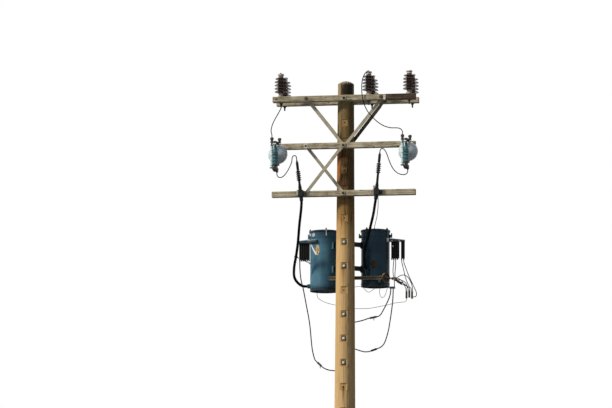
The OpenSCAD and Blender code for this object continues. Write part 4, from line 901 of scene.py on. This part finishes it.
# Pieces that are blocks: finish, slot, rounding, and the middle, size and turn of each block
blockPieces = {
    # black boards that hang from the hoods, close behind the bushings
    "barrier_boards": ("mouldedRubber", "dark_polymer", 0.001, [
        ((-0.59425, 0.3625, 7.079), (0.1285, 0.004, 0.222)),
        ((0.5885, 0.3625, 7.079), (0.091, 0.004, 0.222)),
        ((0.6795, 0.3625, 7.079), (0.048, 0.004, 0.222))
    ]),
    # pale square plates under the brace bolts, on the front of the middle and top arms
    "arm_plates": ("pittedCastAluminium", "galvanised_steel", 0.001, [
        ((-0.483, -0.1982, 8.348), (0.05, 0.003, 0.062)),
        ((0.522, -0.18, 8.957), (0.028, 0.003, 0.064))
    ]),
    # bright pads beside the cable heads' clamps
    "clamp_pads": ("pittedCastAluminium", "galvanised_steel", 0.003, [
        ((-0.572, -0.243, 7.752), (0.022, 0.036, 0.058)), ((0.4, -0.243, 7.79), (0.022, 0.036, 0.058))
    ]),
    # pale lug on the left tank, where the cable's strap ends
    "strap_lug": ("pittedCastAluminium", "galvanised_steel", 0.002, [
        (cableStrap["end"], (0.022, 0.018, 0.022), -160)
    ]),
    # pale strips along the top and the foot of the service arm's front
    "service_arm_edges": ("wornZincEdge", "galvanised_steel", 0.0008, [
        ((0.1175, 0.1212, 6.7165), (0.706, 0.0065, 0.004)),
        ((0.1175, 0.1212, 6.6785), (0.706, 0.0065, 0.004))
    ]),
}
for pieceName, (finish, slot, edge, blocks) in blockPieces.items():
    shape = bmesh.new()
    for middle, size, *turn in blocks:
        addBlock(shape, middle, size, *turn, edge=edge)
    makePiece(pieceName, shape, finish)

# Ferrules on the fuse barrels: they swing with the barrels
fuseFerrules = {
    "across": {"left": -0.832, "right": 0.832}, "out": -0.4108,
    "bands": [
        (0.0298, 0.0335, 8.0695, 8.0815), (0.0298, 0.0325, 8.2325, 8.241), (0.0138, 0.0172, 8.312, 8.327)
    ],
}


def makeFerrules(look):
    for side, across in look["across"].items():
        shape = bmesh.new()
        for band in look["bands"]:
            addRing(shape, Matrix.Translation((across, look["out"], 0)), bandProfile(*band))
        makePiece(side + "_ferrules", shape, "tarnishedBronze", side + "_fuse_body")


makeFerrules(fuseFerrules)

# Cable heads: grey bands between the sheds, and heat-shrunk sleeves over their tops and under the arm.
# Each has its foot, lean, lowest shed and height.
headTrim = {
    "heads": [((-0.535, -0.236, 7.74), -7.0, 0.165, 0.405), ((0.431, -0.236, 7.74), 5.0, 0.24, 0.48)],
    "count": 5, "pitch": 0.026, "band": (0.0145, 0.0188, 0.0176, 0.0255), "steps": 32,
    "sleeveFrom": 0.134, "sleeveInner": 0.004, "sleeveOuter": 0.0168,
    "tipOuter": 0.0078, "tipAbove": 0.024, "footSleeve": (0.0162, 0.0232, -0.098, -0.0395, 0.004),
}


def makeHeadTrim(look):
    bands = bmesh.new()
    sleeves = bmesh.new()
    bandInner, bandOuter, base, top = look["band"]
    inner, outer, tip = look["sleeveInner"], look["sleeveOuter"], look["tipOuter"]
    for foot, lean, low, high in look["heads"]:
        place = Matrix.Translation(foot) @ Matrix.Rotation(math.radians(lean), 4, "Y")
        for i in range(look["count"]):
            shed = low + i * look["pitch"]
            addRing(bands, place, bandProfile(bandInner, bandOuter, shed + base, shed + top), look["steps"])
        start = low + look["sleeveFrom"]
        end = high + look["tipAbove"]
        sleeve = [
            (inner, start), (outer - 0.001, start), (outer, start + 0.002), (outer, high - 0.012),
            (0.8 * outer, high), (tip, high + 0.6 * look["tipAbove"]), (tip, end), (inner, end)
        ]
        addRing(sleeves, place, sleeve, look["steps"])
        addRing(sleeves, place, bandProfile(*look["footSleeve"]), look["steps"])
    makePiece("cable_head_bands", bands, "greyedRubber")
    makePiece("cable_head_sleeves", sleeves, "mouldedRubber")


makeHeadTrim(headTrim)
print("small fittings made")

# Floor, world and lamps. A lamp has the side that it comes from, its strength, its angle and its tint.
stageLook = {
    "floorSize": 60.0, "floor": "e4e4e2", "floorBounce": "4a4b4a", "floorRoughness": 0.9, "ambient": 0.1,
    "lamps": {
        "keyFromLeft": ((-0.85, -0.55, 0.75), 3.1, 9, "fff2de"),
        "fillFromFront": ((-0.5, -1.0, 0.15), 0.4, 40, "eaf2ff"),
        "fillFromBack": ((-0.25, 1.0, 0.5), 0.9, 40, "eaf2ff"),
        "skyFromAbove": ((0.1, -0.35, 1.0), 0.3, 60, "e6f1ff"),
    },
}


# One for the rays that look straight at a thing, or at its reflection, and nought for the others
def seenRays(tree):
    rays = addNode(tree, "LightPath").outputs
    seen = rays["Is Camera Ray"]
    for ray in ("Is Glossy Ray", "Is Transmission Ray"):
        seen = addNode(tree, "Math", (seen, rays[ray]), operation="MAXIMUM")
    return seen


def makeFloor(look):
    shape = bmesh.new()
    bmesh.ops.create_grid(shape, x_segments=1, y_segments=1, size=look["floorSize"] / 2)
    mesh = bpy.data.meshes.new("floor")
    shape.to_mesh(mesh)
    shape.free()
    material, tree = startMaterial("palePaper")[:2]
    coats = [(seenRays(tree), look["floor"])]
    endMaterial(tree, look["floorBounce"], coats, {"Roughness": look["floorRoughness"]})
    mesh.materials.append(material)
    floor = bpy.data.objects.new("floor", mesh)
    scene.collection.objects.link(floor)


# Camera, glossy and transmission rays see white; the rest of the light is a soft grey sky
def makeWorld(look):
    world = bpy.data.worlds.new("paleSky")
    world.use_nodes = True
    tree = world.node_tree
    tree.nodes.clear()
    strength = addNode(tree, "MapRange", (seenRays(tree), 0.0, 1.0, look["ambient"], 1.0))
    sky = addNode(tree, "Background", ("ffffff", strength))
    addNode(tree, "OutputWorld", [sky])
    scene.world = world


def makeLamp(name, fromPlace, strength, angleDegrees, tint):
    lamp = bpy.data.lights.new(name, "SUN")
    lamp.energy = strength
    lamp.angle = math.radians(angleDegrees)
    lamp.color = colour(tint)[:3]
    holder = bpy.data.objects.new(name, lamp)
    holder.matrix_world = Vector(fromPlace).to_track_quat("Z", "Y").to_matrix().to_4x4()
    scene.collection.objects.link(holder)


makeFloor(stageLook)
makeWorld(stageLook)
for lampName, lamp in stageLook["lamps"].items():
    makeLamp(lampName, *lamp)
scene.view_settings.view_transform = "Standard"
print("stage and lamps set")
